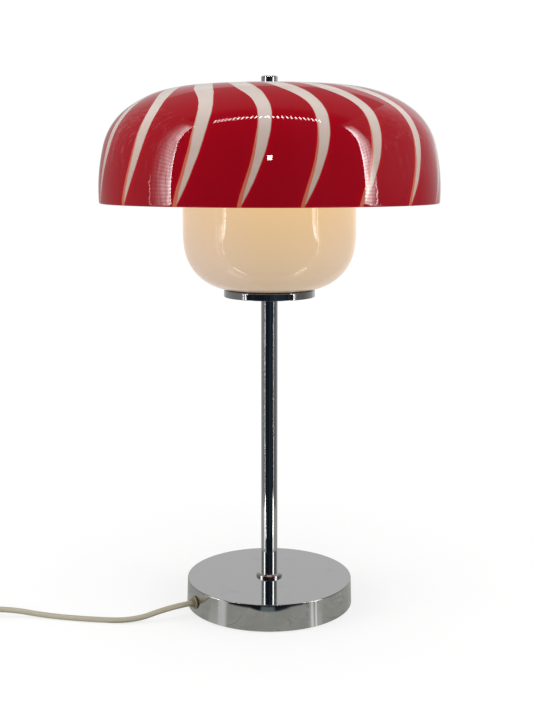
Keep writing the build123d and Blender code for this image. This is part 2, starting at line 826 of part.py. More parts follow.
def make_switch():
    """Two-part housing, rocker on its axle, screws and contacts."""
    seam, top = switch_seam_height, switch_height
    inner_length, inner_width = switch_length - 2 * switch_wall, switch_width - 2 * switch_wall
    base = pill(switch_length, switch_width, 0, seam)
    base = fillet(base.faces().sort_by(Axis.Z)[0].edges(), switch_bottom_round)
    base -= pill(inner_length, inner_width, switch_wall, seam + 1)
    cover = pill(switch_length, switch_width, seam, top)
    cover = fillet(cover.faces().sort_by(Axis.Z)[-1].edges(), switch_top_round)
    cover -= pill(inner_length, inner_width, seam - 1, top - switch_wall)

    screws = []
    screw_low = switch_wall / 2
    for side in (-1, 1):
        place = Pos(side * switch_screw_x, side * switch_screw_y, 0)
        base += place * disc(switch_boss_radius, switch_wall / 2, seam)
        cover += place * disc(switch_boss_radius, seam, top - switch_wall / 2)
        hole = disc(switch_screw_radius + slip, -1, screw_low + switch_screw_length + slip)
        head_hole = disc(
            switch_screw_head_radius + slip, -1, screw_low + switch_screw_head_height
        )
        base -= place * (hole + head_hole)
        cover -= place * hole
        screw = disc(switch_screw_radius, screw_low, screw_low + switch_screw_length)
        screw += disc(switch_screw_head_radius, screw_low, screw_low + switch_screw_head_height)
        screws.append(place * screw)

    # The cord lies in a round channel, half in each part.
    channel = Pos(0, 0, seam) * (Plane.YZ * Cylinder(cord_radius + slip, 2 * switch_length))
    base -= channel
    cover -= channel

    # The rocker swings in this window, on ribs that hang from the cover.
    window_length = 2 * (rocker_radius + rocker_end_gap)
    window_width = rocker_width + 2 * rocker_side_gap
    cover -= Pos(0, 0, top) * Box(window_length, window_width, 3 * switch_wall)
    rib_y = window_width / 2 + axle_rib_thickness / 2
    for side in (-1, 1):
        rib_top = top - switch_wall / 2
        rib = Box(2 * axle_rib_half_length, axle_rib_thickness, axle_rib_drop + switch_wall / 2,
                  align=(Align.CENTER, Align.CENTER, Align.MAX))
        cover += Pos(0, side * rib_y, rib_top) * rib
    axle_length = window_width + 2 * axle_rib_thickness
    axle_hole = across(axle_radius + slip, axle_length + 1)
    cover -= Pos(0, 0, axle_height) * axle_hole

    rocker = across(rocker_radius, rocker_width)
    rocker -= Pos(0, 0, -rocker_drop) * Box(
        4 * rocker_radius, 2 * rocker_width, 4 * rocker_radius,
        align=(Align.CENTER, Align.CENTER, Align.MAX),
    )
    rocker += Box(rocker_cam_width, rocker_width - 2 * rocker_cam_margin, rocker_cam_drop,
                  align=(Align.CENTER, Align.CENTER, Align.MAX))
    for side in (-1, 1):
        lid = Box(2 * rocker_radius, 2 * rocker_width, 2 * rocker_radius,
                  align=(Align.MIN, Align.CENTER, Align.MIN))
        turn = Rot(0, -rocker_tilt, 0) if side > 0 else Rot(0, 0, 180) * Rot(0, -rocker_tilt, 0)
        rocker -= Pos(0, 0, rocker_rise) * turn * lid
    rocker -= across(axle_radius + slip, 2 * rocker_width)
    rocker = Pos(0, 0, axle_height) * Rot(0, rocker_tilt, 0) * rocker

    block = Box(terminal_block_length, terminal_block_width, terminal_block_top - switch_wall,
                align=(Align.CENTER, Align.CENTER, Align.MIN))
    contacts = [Pos(side * terminal_block_x, 0, switch_wall) * block for side in (-1, 1)]
    leaf_reach = 2 * terminal_block_x - terminal_block_length - leaf_gap
    leaf = Box(leaf_reach, terminal_block_width / 2, leaf_thickness,
               align=(Align.MIN, Align.CENTER, Align.MIN))
    leaf_start = -terminal_block_x + terminal_block_length / 2
    contacts.append(Pos(leaf_start, 0, terminal_block_top - 4 * leaf_thickness) * leaf)
    contacts = [contacts[0] + contacts[2], contacts[1]]

    pieces = {
        "switch_base": base,
        "switch_cover": cover,
        "switch_rocker": rocker,
        "switch_axle": Pos(0, 0, axle_height) * across(axle_radius, axle_length),
        "switch_screws": group(screws),
        "switch_contacts": group(contacts),
    }
    return {name: switch_place * piece for name, piece in pieces.items()}


# ---- Plug ---------------------------------------------------------------------------------------


def make_plug(port, heading):
    """Flat two-pin plug lying on the table, from the cord's end along a heading in degrees."""
    place = Pos(*port) * Rot(0, 0, heading)
    rear = plug_relief_length
    face = rear + plug_body_length
    rear_section = Plane.YZ.offset(rear) * RectangleRounded(
        plug_rear_width, plug_rear_thickness, plug_corner
    )
    middle_section = Plane.YZ.offset(rear + plug_taper_length) * RectangleRounded(
        plug_width, plug_thickness, plug_corner
    )
    face_section = Plane.YZ.offset(face) * RectangleRounded(plug_width, plug_thickness, plug_corner)
    body = loft([rear_section, middle_section], ruled=True)
    body += loft([middle_section, face_section], ruled=True)
    relief = Cone(plug_relief_tip_radius, plug_relief_radius, plug_relief_length,
                  align=(Align.CENTER, Align.CENTER, Align.MIN))
    body += Plane.YZ * relief
    pins = []
    for side in (-1, 1):
        pin = Cylinder(pin_radius, pin_length, align=(Align.CENTER, Align.CENTER, Align.MIN))
        pin = fillet(pin.edges().group_by(Axis.Z)[-1], pin_tip_round)
        pin += Cylinder(pin_root_radius, pin_root_length,
                        align=(Align.CENTER, Align.CENTER, Align.MAX))
        root_hole = Cylinder(pin_root_radius + slip, pin_root_length + slip,
                             align=(Align.CENTER, Align.CENTER, Align.MAX))
        at_face = Plane.YZ.offset(face) * Pos(side * pin_spacing / 2, 0, 0)
        pins.append(at_face * pin)
        body -= at_face * root_hole
    return {"plug_body": place * body, "plug_pins": place * group(pins)}


# ---- Cord ---------------------------------------------------------------------------------------

coil_layer_quarters = coil_flat_quarters + coil_climb_quarters


def coil_radius_at(k):
    """Radius of the winding after k quarter turns.

    It falls by one pitch a turn in one layer and grows by one pitch a turn in the next. In the
    climb between them the rate itself changes evenly, which rounds the turning point.
    """
    rate = coil_pitch / 4
    radius, direction, done = coil_start_radius, -1, 0
    while k > done:
        flat = min(k - done, coil_flat_quarters)
        radius += direction * rate * flat
        climb = min(k - done - flat, coil_climb_quarters)
        radius += direction * rate * climb * (1 - climb / coil_climb_quarters)
        done += coil_layer_quarters
        direction = -direction
    return radius


def coil_height_at(k):
    """Height of the winding: level in a layer, and an even S from one layer to the next."""
    layer, inside = divmod(k, coil_layer_quarters)
    share = max(0, inside - coil_flat_quarters) / coil_climb_quarters
    return cord_radius + coil_layer_pitch * (layer + share**2 * (3 - 2 * share))


def coil_point(k):
    azimuth = radians(coil_start_azimuth - 90 * k)
    radius = coil_radius_at(k)
    return Vector(coil_x + radius * cos(azimuth), coil_y + radius * sin(azimuth), coil_height_at(k))


def coil_tangent(k):
    """Direction of the winding, from two points close on each side."""
    step = 0.001
    before, after = max(k - step, 0), min(k + step, coil_quarters)
    return (coil_point(after) - coil_point(before)).normalized()


def arc_leaving(start, end, leave):
    """Arc between two points that leaves the first one along a direction."""
    chord = end - start
    half = chord * 0.5
    along = chord.normalized()
    sideways = (leave - along * leave.dot(along)).normalized()
    quarter_turn = radians(leave.get_angle(chord)) / 2
    return ThreePointArc(start, start + half + sideways * half.length * tan(quarter_turn), end)


def biarc(start, end, leave, arrive):
    """Two arcs with one tangent where they meet, from one point and direction to another."""
    chord = end - start
    a = 2 * (leave.dot(arrive) - 1)
    b = -2 * chord.dot(leave + arrive)
    c = chord.dot(chord)
    reach = (-b - sqrt(b * b - 4 * a * c)) / (2 * a)
    middle = (start + end + (leave - arrive) * reach) * 0.5
    turn_back = arc_leaving(end, middle, arrive * -1)
    return [arc_leaving(start, middle, leave), ThreePointArc(middle, turn_back @ 0.5, end)]


def make_coil():
    """Unbroken tube of the put-away cord, with a straight diameter at each end."""
    ends = (coil_point(0), coil_point(coil_quarters))
    headings = (coil_tangent(0), coil_tangent(coil_quarters))
    edges = [Line(ends[0] - headings[0] * cord_diameter, ends[0])]
    for k in range(coil_quarters):
        edges += biarc(coil_point(k), coil_point(k + 1), coil_tangent(k), coil_tangent(k + 1))
    edges.append(Line(ends[1], ends[1] + headings[1] * cord_diameter))
    path = Wire(edges)
    tube = swept(path, cord_radius)
    expected = path.length * pi * cord_radius**2
    print("coil length", round(path.length, 1), "volume over section times length",
          round(tube.volume / expected, 5), "least gap", round(least_gap(path), 2))
    return tube, path.length


def least_gap(path):
    """Smallest air between stretches of the winding that are half a turn or more apart."""
    samples = coil_gap_samples * coil_quarters
    points = [tuple(path @ (n / samples)) for n in range(samples + 1)]
    half_turn = 2 * coil_gap_samples
    nearest = min(
        dist(points[i], points[j])
        for i in range(samples + 1)
        for j in range(i + half_turn, samples + 1)
    )
    return nearest - cord_diameter


def make_cord():
    """Free stretches, coil and plug, as they lie on the table."""
    port_height = switch_seam_height
    outwards, exit_centre = Vector(*exit_direction), Vector(0, 0, exit_height)
    lead_route = [
        tuple(exit_centre + outwards * cord_exit_distance),
        tuple(exit_centre + outwards * (cord_exit_distance + exit_run)),
        (-121.0, -57.0, cord_radius),
        (-163.0, -53.0, cord_radius),
        (-202.0, -44.5, cord_radius),
        (-236.0, switch_y, port_height),
        (switch_x + cord_end_in_switch, switch_y, port_height),
    ]
    coil_in, coil_in_heading = coil_point(0), coil_tangent(0)
    link_route = [
        (switch_x - cord_end_in_switch, switch_y, port_height),
        (-323.0, switch_y, port_height),
        tuple(coil_in - coil_in_heading * coil_run),
        tuple(coil_in - coil_in_heading * cord_diameter),
    ]
    coil_out, coil_out_heading = coil_point(coil_quarters), coil_tangent(coil_quarters)
    plug_height = plug_thickness / 2
    plug_port = (-350.0, 86.5, plug_height)
    before_plug = (-364.0, 84.5, plug_height)
    tail_route = [
        tuple(coil_out + coil_out_heading * cord_diameter),
        tuple(coil_out + coil_out_heading * coil_run_out),
        (-399.5, 31.0, 9.0),
        (-398.0, 49.0, 2.7),
        (-392.0, 66.0, cord_radius),
        (-380.0, 78.0, 3.6),
        before_plug,
        plug_port,
    ]
    lead, lead_length = cable("lead", lead_route)
    link, link_length = cable("link", link_route)
    coil, coil_length = make_coil()
    tail, tail_length = cable("tail", tail_route)
    print("cord in all", round(lead_length + link_length + coil_length + tail_length, 1))
    run = (plug_port[0] - before_plug[0], plug_port[1] - before_plug[1])
    heading = degrees(acos(run[0] / hypot(*run)))
    pieces = {"cord_lead": lead, "cord_link": link, "cord_coil": coil, "cord_tail": tail}
    return pieces | make_plug(plug_port, heading)


# ---- The whole lamp -----------------------------------------------------------------------------

nodes = (
    make_base()
    | make_cord_exit()
    | {"wire_live": make_wire(1), "wire_neutral": make_wire(-1)}
    | make_stem()
    | make_diffuser()
    | make_lampholder()
    | make_bulb()
    | make_harp()
    | make_shade()
    | make_finial()
    | make_switch()
    | make_cord()
)
for name, shape in nodes.items():
    export_step(shape, f"parts/{name}.step")
print(len(nodes), "nodes, top at", round(finial_bottom + finial_height, 2))
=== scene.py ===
# %% [markdown]
# # A striped glass mushroom lamp
#
# This lesson dresses a table lamp that was built as a real assembly: a weighted chromed base, a
# tubular stem, an opal glass diffuser on a small plate, and a domed red glass shade with trailed
# white stripes. The construction comes ready made, as fixed pieces at their real size. What is
# left is the finish: smooth surfaces where a mirror would show every facet, glass, chrome, a cord
# that lies as a cord does, and a studio for the chrome to reflect.
#
# All sizes are metres. The origin is on the table, on the lamp's axis, +Z up, and -Y towards the
# camera.

from math import cos, pi, radians, sin

import bmesh
import bpy
import numpy as np
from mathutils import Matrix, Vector


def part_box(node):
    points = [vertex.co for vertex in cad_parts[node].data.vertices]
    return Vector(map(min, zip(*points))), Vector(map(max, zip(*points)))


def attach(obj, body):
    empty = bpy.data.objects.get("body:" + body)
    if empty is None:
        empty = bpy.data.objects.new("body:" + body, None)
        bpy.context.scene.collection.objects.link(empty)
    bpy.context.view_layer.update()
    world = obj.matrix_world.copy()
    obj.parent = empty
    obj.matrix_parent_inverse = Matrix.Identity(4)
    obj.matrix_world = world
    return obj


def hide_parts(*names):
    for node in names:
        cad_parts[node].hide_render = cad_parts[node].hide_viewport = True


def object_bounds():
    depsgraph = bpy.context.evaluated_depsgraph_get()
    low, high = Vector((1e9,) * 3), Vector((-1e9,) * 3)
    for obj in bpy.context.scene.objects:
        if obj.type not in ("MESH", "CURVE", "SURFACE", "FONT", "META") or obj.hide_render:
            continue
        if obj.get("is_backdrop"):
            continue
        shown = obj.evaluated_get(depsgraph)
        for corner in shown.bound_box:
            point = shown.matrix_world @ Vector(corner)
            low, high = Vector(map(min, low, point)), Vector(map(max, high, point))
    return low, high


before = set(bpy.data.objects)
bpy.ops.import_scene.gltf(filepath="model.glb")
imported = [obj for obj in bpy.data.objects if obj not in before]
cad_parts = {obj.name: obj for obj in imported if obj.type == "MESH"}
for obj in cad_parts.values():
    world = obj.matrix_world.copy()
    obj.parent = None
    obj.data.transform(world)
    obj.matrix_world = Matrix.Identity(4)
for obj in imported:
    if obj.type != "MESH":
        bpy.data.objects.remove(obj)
cad_low, cad_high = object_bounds()

# %% [markdown]
# ## The camera
#
# The photograph was taken from a metre away, a little above the diffuser, with a lens that is
# slightly longer than normal. The ellipses of the base, the plate and the shade's rim fix the
# height and the tilt: the flatter an ellipse looks, the nearer it lies to the camera's own height.

# %% Camera
camera_place = (-0.0026, -1.0029, 0.3962)
camera_tilt = 9.25         # degrees below the horizon
camera_lens = 56.66        # millimetres, on a sensor 36 mm long

camera_data = bpy.data.cameras.new("camera")
camera_data.lens = camera_lens
camera_data.sensor_width = 36.0
camera_data.clip_start = 0.01
camera = bpy.data.objects.new("camera", camera_data)
camera.location = camera_place
camera.rotation_euler = (radians(90.0 - camera_tilt), 0.0, 0.0)
bpy.context.scene.collection.objects.link(camera)
bpy.context.scene.camera = camera
bpy.context.scene.view_settings.view_transform = "Standard"
print("camera at", camera_place, "tilted down", camera_tilt)

# %% [markdown]
# ## Surfaces from grids
#
# Almost every piece here is turned about an axis, or carried along a path, so one helper makes a
# mesh from a grid of points: rows run along the piece and columns run round it. Each face gets
# its place on the grid as a UV map, worked out per corner so that there is no seam.

# %% Grid helper
def grid_object(name, points, uv=None, close_rows=False, sharp=35.0):
    """Mesh object from points[row, column]. Columns close round; rows close if asked.

    uv[row, column] may have one row and one column more than points, for the closing faces."""
    rows, columns = points.shape[:2]
    last = rows if close_rows else rows - 1
    i, j = np.meshgrid(np.arange(last), np.arange(columns), indexing="ij")
    i, j = i.ravel(), j.ravel()
    corner_rows = np.stack([i, i, i + 1, i + 1], axis=1)
    corner_columns = np.stack([j, j + 1, j + 1, j], axis=1)
    index = (corner_rows % rows) * columns + corner_columns % columns
    mesh = bpy.data.meshes.new(name)
    mesh.from_pydata(points.reshape(-1, 3).tolist(), [], index.tolist())
    if uv is not None:
        layer = mesh.uv_layers.new(name="UVMap")
        values = uv[corner_rows.ravel(), corner_columns.ravel()].astype(np.float32)
        layer.data.foreach_set("uv", values.ravel())
    piece = bpy.data.objects.new(name, mesh)
    bpy.context.scene.collection.objects.link(piece)
    return finish_mesh(piece, sharp)


def finish_mesh(piece, sharp=35.0):
    """Merges doubled points, turns the faces outwards and shades smooth up to an angle."""
    work = bmesh.new()
    work.from_mesh(piece.data)
    bmesh.ops.remove_doubles(work, verts=work.verts, dist=1e-6)
    bmesh.ops.dissolve_degenerate(work, edges=work.edges, dist=1e-7)
    bmesh.ops.recalc_face_normals(work, faces=work.faces)
    work.to_mesh(piece.data)
    work.free()
    piece.data.shade_smooth()
    piece.data.set_sharp_from_angle(angle=radians(sharp))
    return piece


# %% [markdown]
# ## Turned profiles
#
# A profile is a closed line of (radius, height) points. Pressed and turned parts have small
# rounds on their corners, and those rounds catch the light, so each corner carries its own
# radius: the arc touches both of its sides.

# %% Profile helpers
def arc_points(centre, radius, start, end, steps):
    """Points on an arc about a centre, between two angles in degrees."""
    angle = np.radians(np.linspace(start, end, steps))
    return np.stack([centre[0] + radius * np.cos(angle), centre[1] + radius * np.sin(angle)], 1)


def rounded(corners, steps=7):
    """Closed profile whose corners (radius, height, round) are replaced by tangent arcs.

    A point close to each end of an arc keeps the straight side beside it shaded straight."""
    places = np.array([corner[:2] for corner in corners])
    profile = []
    for k, (_, _, size) in enumerate(corners):
        here, before, after = places[k], places[k - 1], places[(k + 1) % len(corners)]
        if size == 0:
            profile.append(here[None])
            continue
        towards = (before - here) / np.linalg.norm(before - here)
        away = (after - here) / np.linalg.norm(after - here)
        half = np.arccos(np.clip(towards @ away, -1, 1)) / 2
        share = np.linspace(-1, 1, steps)[:, None] * (pi / 2 - half)
        middle = (towards + away) / np.linalg.norm(towards + away)
        side = (away - towards) / np.linalg.norm(away - towards)
        centre = here + middle * size / np.sin(half)
        beside = size / np.tan(half) + 0.15 * size
        profile.append((here + towards * beside)[None])
        profile.append(centre + size * (-middle * np.cos(share) + side * np.sin(share)))
        profile.append((here + away * beside)[None])
    return np.concatenate(profile)


def turned(name, profile, segments=256):
    """Closed profile carried round the Z axis: x = r sin a, y = -r cos a, z as in the profile."""
    angle = np.linspace(0, 2 * pi, segments, endpoint=False)
    radius, height = profile[:, 0][:, None], profile[:, 1][:, None]
    flat = np.ones_like(angle)
    points = np.stack([radius * np.sin(angle), -radius * np.cos(angle), height * flat], axis=-1)
    step = np.linalg.norm(np.diff(np.vstack([profile, profile[:1]]), axis=0), axis=1)
    along = np.concatenate([[0], np.cumsum(step)])
    around = np.linspace(0, 1, segments + 1)
    uv = np.stack(np.meshgrid(around, along), axis=-1)
    return grid_object(name, points, uv, close_rows=True)


# %% [markdown]
# ## Finishes
#
# Every finish is a small node network that ends in one Principled shader. The helpers below add
# nodes and set their inputs by name, and a number that comes out of a node can be added,
# multiplied and so on as it is written. Patterns read Object coordinates in metres, so one grain
# size fits every piece.

# %% Material helpers
class Number:
    """A number worked out by nodes. Each sum adds a Math node, so formulas read as written."""

    def __init__(self, finish, socket):
        self.finish = finish
        self.socket = socket

    def math(self, operation, other=0.0):
        """One sum of this number and another."""
        return self.finish.math(operation, self, other)

    def __add__(self, other):
        return self.math("ADD", other)

    def __sub__(self, other):
        return self.math("SUBTRACT", other)

    def __mul__(self, other):
        return self.math("MULTIPLY", other)

    def __truediv__(self, other):
        return self.math("DIVIDE", other)

    def __abs__(self):
        return self.math("ABSOLUTE")


class Finish:
    """A material, its node tree and its shader, with short ways to add and join nodes."""

    def __init__(self, name):
        self.material = bpy.data.materials.new(name)
        self.material.use_nodes = True
        self.tree = self.material.node_tree
        self.shader = self.tree.nodes["Principled BSDF"]
        self.place = self.add("ShaderNodeTexCoord").outputs["Object"]

    def add(self, kind, values=None, **settings):
        """New node with its settings and its inputs."""
        node = self.tree.nodes.new(kind)
        for key, value in settings.items():
            setattr(node, key, value)
        for key, value in (values or {}).items():
            self.feed(node.inputs[key], value)
        return node

    def feed(self, socket, value):
        """Links a socket, or sets its value."""
        value = getattr(value, "socket", value)
        if isinstance(value, bpy.types.NodeSocket):
            self.tree.links.new(value, socket)
        else:
            socket.default_value = value

    def set(self, **values):
        """Sets or links the shader's inputs; underscores stand for spaces."""
        for key, value in values.items():
            self.feed(self.shader.inputs[key.replace("_", " ")], value)

    def math(self, operation, first, second=0.0):
        """One sum of two numbers."""
        node = self.add("ShaderNodeMath", {0: first, 1: second}, operation=operation)
        return Number(self, node.outputs[0])

    def axes(self, vector=None):
        """The three numbers of a vector; without one, of the point's own place."""
        node = self.add("ShaderNodeSeparateXYZ", {"Vector": vector or self.place})
        return [Number(self, socket) for socket in node.outputs]

    def stretched(self, scale, turn=(0.0, 0.0, 0.0)):
        """The point's place turned and scaled, for a pattern that is drawn out one way."""
        values = {"Vector": self.place, "Scale": scale, "Rotation": turn}
        return self.add("ShaderNodeMapping", values).outputs["Vector"]

    def noise(self, scale, detail=3.0, roughness=0.5, place=None):
        """Cloudy noise from 0 to 1, scale in waves a metre."""
        values = {"Scale": scale, "Detail": detail, "Roughness": roughness}
        node = self.add("ShaderNodeTexNoise", {"Vector": place or self.place, **values})
        return Number(self, node.outputs["Fac"])

    def spread(self, value, low, high, to_low, to_high, smooth=False):
        """Maps one range to another."""
        values = {"Value": value, "From Min": low, "From Max": high}
        kind = "SMOOTHSTEP" if smooth else "LINEAR"
        node = self.add("ShaderNodeMapRange", values, interpolation_type=kind)
        self.feed(node.inputs["To Min"], to_low)
        self.feed(node.inputs["To Max"], to_high)
        return Number(self, node.outputs["Result"])

    def mix(self, share, first, second):
        """Blends two colours."""
        node = self.tree.nodes.new("ShaderNodeMix")
        node.data_type = "RGBA"
        for key, value in (("Factor", share), ("A", first), ("B", second)):
            socket = next(s for s in node.inputs if s.name == key and s.enabled)
            self.feed(socket, value)
        return next(s for s in node.outputs if s.enabled)

    def bump(self, height, strength, distance):
        """Feeds a relief to the shader's normal."""
        values = {"Height": height, "Strength": strength, "Distance": distance}
        self.set(Normal=self.add("ShaderNodeBump", values).outputs["Normal"])


def srgb(red, green, blue):
    """Linear colour from a screen colour of 0 to 255."""
    value = np.array([red, green, blue]) / 255.0
    linear = np.where(value <= 0.04045, value / 12.92, ((value + 0.055) / 1.055) ** 2.4)
    return (*linear.tolist(), 1.0)


def dress(piece, finish):
    """Gives a piece one finish in place of whatever it had."""
    piece.data.materials.clear()
    piece.data.materials.append(finish.material)


# %% [markdown]
# ## Chrome
#
# Polished chrome has almost no colour of its own; what one sees is the room. Real chrome is
# never perfectly clean though, so its gloss varies a little in soft patches, as wiping leaves
# it, with very fine lines from polishing.

# %% Chrome
def chrome_finish(name, colour=(0.60, 0.605, 0.60), gloss=0.045):
    """Mirror chrome with faint wiping marks."""
    chrome = Finish(name)
    patches = chrome.noise(38.0, 4.0, 0.6)
    lines = chrome.noise(420.0, 2.0, 0.5, chrome.stretched((1.0, 1.0, 5.0)))
    worn = chrome.spread(patches, 0.55, 0.80, 0.0, 1.0, smooth=True)
    dull = [0.93 * part for part in colour]
    chrome.set(Metallic=1.0, Base_Color=chrome.mix(worn, (*colour, 1.0), (*dull, 1.0)))
    chrome.set(Roughness=worn * 0.03 + gloss + lines * 0.02)
    return chrome


chrome = chrome_finish("polished_chrome")
print("chrome nodes:", len(chrome.tree.nodes))

# %% [markdown]
# ## The base
#
# The base is a steel cap, pressed, chromed and weighted with iron. Its side widens by less than
# a millimetre towards the table. A reflection doubles every facet's angle, so the packed
# piece's own flats would show; a fine turned surface takes its place, with the same sizes.

# %% Base cover
base_low, base_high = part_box("base_cover")
base_height = base_high.z
base_foot_radius = base_high.x
base_flare = 0.00075
base_edge_round = 0.0010
cover_wall = 0.0010
rod_hole_radius = 0.0051
base_top_radius = base_foot_radius - base_flare

cover_profile = rounded([
    (rod_hole_radius, base_height, 0),
    (base_top_radius, base_height, base_edge_round),
    (base_foot_radius, base_low.z, 0.0003),
    (base_foot_radius - cover_wall, base_low.z, 0.0003),
    (base_top_radius - cover_wall, base_height - cover_wall, 0),
    (rod_hole_radius, base_height - cover_wall, 0),
], steps=9)
base_cover = turned("base_cover_shell", cover_profile, 384)
dress(base_cover, chrome)
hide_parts("base_cover")
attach(base_cover, "lamp")
print("base faces:", len(base_cover.data.polygons))

# %% [markdown]
# ## Stem, collar, plate and nut
#
# The stem is plain tube, the collar a flat ring that hides where it meets the base, the plate a
# shallow dish turned over, and the nut on the crown a round cap. All of them are the same
# helper with another profile.

# %% Stem and collar
stem_low, stem_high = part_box("stem_tube")
stem_radius = stem_high.x
stem_wall = 0.0015
stem_profile = rounded([
    (stem_radius, stem_low.z, 0),
    (stem_radius, stem_high.z, 0),
    (stem_radius - stem_wall, stem_high.z, 0),
    (stem_radius - stem_wall, stem_low.z, 0),
])
stem_tube = turned("stem_tube_polished", stem_profile, 192)

collar_low, collar_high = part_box("stem_collar")
collar_gap = 0.00005
collar_slope_out, collar_slope_down = 0.00175, 0.0014
collar_round = 0.0002
collar_profile = rounded([
    (stem_radius + collar_gap, collar_low.z, 0),
    (collar_high.x, collar_low.z, collar_round),
    (collar_high.x, collar_high.z - collar_slope_down, collar_round),
    (collar_high.x - collar_slope_out, collar_high.z, collar_round),
    (stem_radius + collar_gap, collar_high.z, collar_round),
])
stem_collar = turned("stem_collar_ring", collar_profile, 192)

# %% Gallery plate
plate_low, plate_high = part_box("gallery_plate")
plate_wall = 0.0024
plate_hub_radius = 0.0120
plate_profile = rounded([
    (rod_hole_radius, plate_high.z, 0),
    (plate_high.x, plate_high.z, 0.0006),
    (plate_high.x, plate_low.z, 0.0006),
    (plate_high.x - plate_wall, plate_low.z, 0.0004),
    (plate_high.x - plate_wall, plate_high.z - plate_wall, 0.0008),
    (plate_hub_radius, plate_high.z - plate_wall, 0.0008),
    (plate_hub_radius, plate_low.z, 0.0003),
    (rod_hole_radius, plate_low.z, 0),
])
gallery_plate = turned("gallery_plate_polished", plate_profile, 256)

# %% Finial nut
nut_low, nut_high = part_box("finial_nut")
stud_hole_radius = 0.0030
bore_depth = 0.0050
bore_top = nut_low.z + bore_depth
nut_profile = rounded([
    (0, nut_high.z, 0),
    (nut_high.x, nut_high.z, 0.0010),
    (nut_high.x, nut_low.z, 0.0003),
    (stud_hole_radius, nut_low.z, 0),
    (stud_hole_radius, bore_top, 0),
    (0, bore_top, 0),
], steps=9)
finial_nut = turned("finial_nut_polished", nut_profile, 128)

for piece, node, body in (
    (stem_tube, "stem_tube", "lamp"),
    (stem_collar, "stem_collar", "lamp"),
    (gallery_plate, "gallery_plate", "lamp"),
    (finial_nut, "finial_nut", "finial"),
):
    dress(piece, chrome)
    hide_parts(node)
    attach(piece, body)
    print(piece.name, "faces:", len(piece.data.polygons))

# %% [markdown]
# ## The opal diffuser
#
# An open bowl of white opal glass, 3 mm thick, with a bulb burning inside. Opal glass scatters the
# light through its whole thickness, so the bowl glows almost evenly: warm beside the bulb, paler
# towards the sides, dimmer and greyer towards the foot. The glow is painted light: an emission that
# depends on where a point lies on the bowl, under an ordinary glossy skin. It pales with the distance
# to the left and right, as seen from the front, grows a little brighter from left to right, and fades
# in a thin painted shadow at the foot, where the bowl sits on the plate.

# %% Diffuser shape
bowl_low, bowl_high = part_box("diffuser_glass")
bowl_radius = bowl_high.x
bowl_wall = 0.0030
bowl_foot_bend = 0.0428
bowl_side_bend = 0.0852
bowl_side_angle = 10.07    # degrees that the side's bend covers
bowl_hole_radius = 0.0060
bowl_lip_round = 0.0012


def bowl_side(inset):
    """Section from the foot's bend to the top: two tangent arcs, moved in by an inset."""
    lean = radians(bowl_side_angle)
    step = bowl_side_bend - bowl_foot_bend
    side_centre = (bowl_radius - bowl_side_bend, bowl_low.z + bowl_foot_bend + step * sin(lean))
    foot_centre = (side_centre[0] + step * cos(lean), bowl_low.z + bowl_foot_bend)
    foot = arc_points(foot_centre, bowl_foot_bend - inset, -90, -bowl_side_angle, 40)
    side = arc_points(side_centre, bowl_side_bend - inset, -bowl_side_angle, 0, 12)
    return np.vstack([foot, side[1:]])


def lip(outer, inner, top, size):
    """Rounded lip between two walls, from the outer one over to the inner one."""
    over = arc_points((outer - size, top - size), size, 0, 90, 7)
    back = arc_points((inner + size, top - size), size, 90, 180, 7)
    return np.vstack([over, back])


bowl_profile = np.vstack([
    [[bowl_hole_radius, bowl_low.z]],
    bowl_side(0),
    lip(bowl_radius, bowl_radius - bowl_wall, bowl_high.z, bowl_lip_round),
    bowl_side(bowl_wall)[::-1],
    [[bowl_hole_radius, bowl_low.z + bowl_wall]],
])
diffuser = turned("opal_diffuser", bowl_profile, 256)
print("diffuser faces:", len(diffuser.data.polygons), "height", round(bowl_high.z - bowl_low.z, 4))


# %% Opal glass
def opal_finish():
    """Glossy opal glass; a painted glow that pales left and right and dims to a painted shadow at the
    foot.
    """
    opal = Finish("lit_opal_glass")
    x, _, z = opal.axes()
    flow = opal.noise(16.0, 2.0, 0.4)
    upper = opal.mix(flow, srgb(250, 206, 140), srgb(253, 210, 144))
    height = opal.spread(z, bowl_low.z, bowl_high.z - 0.020, 0.0, 1.0)
    colour = opal.mix(height, srgb(177, 151, 125), upper)
    # Painted light: the glow pales with the distance left and right of a line just right of the axis.
    beside_bulb = opal.spread(abs(x - 0.014), 0.02, 0.085, 0.0, 1.0)
    pale = opal.mix(beside_bulb, (1, 1, 1, 1), (0.97, 1.02, 1.34, 1))
    colour = opal.add("ShaderNodeVectorMath", {0: colour, 1: pale}, operation="MULTIPLY").outputs[0]
    # Painted light: the glow grows a little brighter from left to right.
    across = opal.spread(x, -bowl_radius, bowl_radius, 0.96, 1.02)
    # Painted shadow: the glow fades over the lowest 4 mm, where the bowl sits on the plate.
    foot = opal.spread(z, bowl_low.z, bowl_low.z + 0.0042, 0.12, 1.0, smooth=True)
    scaled = opal.add("ShaderNodeVectorMath", {0: colour, "Scale": across * foot}, operation="SCALE")
    opal.set(Base_Color=srgb(128, 120, 110), Roughness=0.05, IOR=1.42)
    opal.set(Emission_Color=scaled.outputs[0], Emission_Strength=0.80)
    return opal


opal = opal_finish()
dress(diffuser, opal)
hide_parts("diffuser_glass")
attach(diffuser, "lamp")

# %% [markdown]
# ## The shade
#
# A blown dome of red glass, cased over white stripes that were trailed on while it turned, so
# each stripe leans over on the side, stands up at the shoulder and winds in to the crown. The
# section is a chain of tangent arcs. The stripes could be painted with a wave texture, but they
# are uneven, as hand work is; so each face corner carries two numbers instead, the number of
# the stripe that it lies beside and its distance along the glass, and the material draws the
# edges from those. They stay crisp at any zoom.

# %% Shade section
shade_low, shade_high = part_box("shade_glass")
shade_radius = shade_high.x
shade_widest = 0.00969         # above the rim
shade_bend_radii = [0.1670, 0.05589, 0.09134]
shade_bend_ends = [13.82, 52.6, 84.94]     # degrees that the normal has tilted up at each bend's end
shade_wall = 0.0040
shade_rim_round = 0.0014
shade_hole_radius = 0.0050


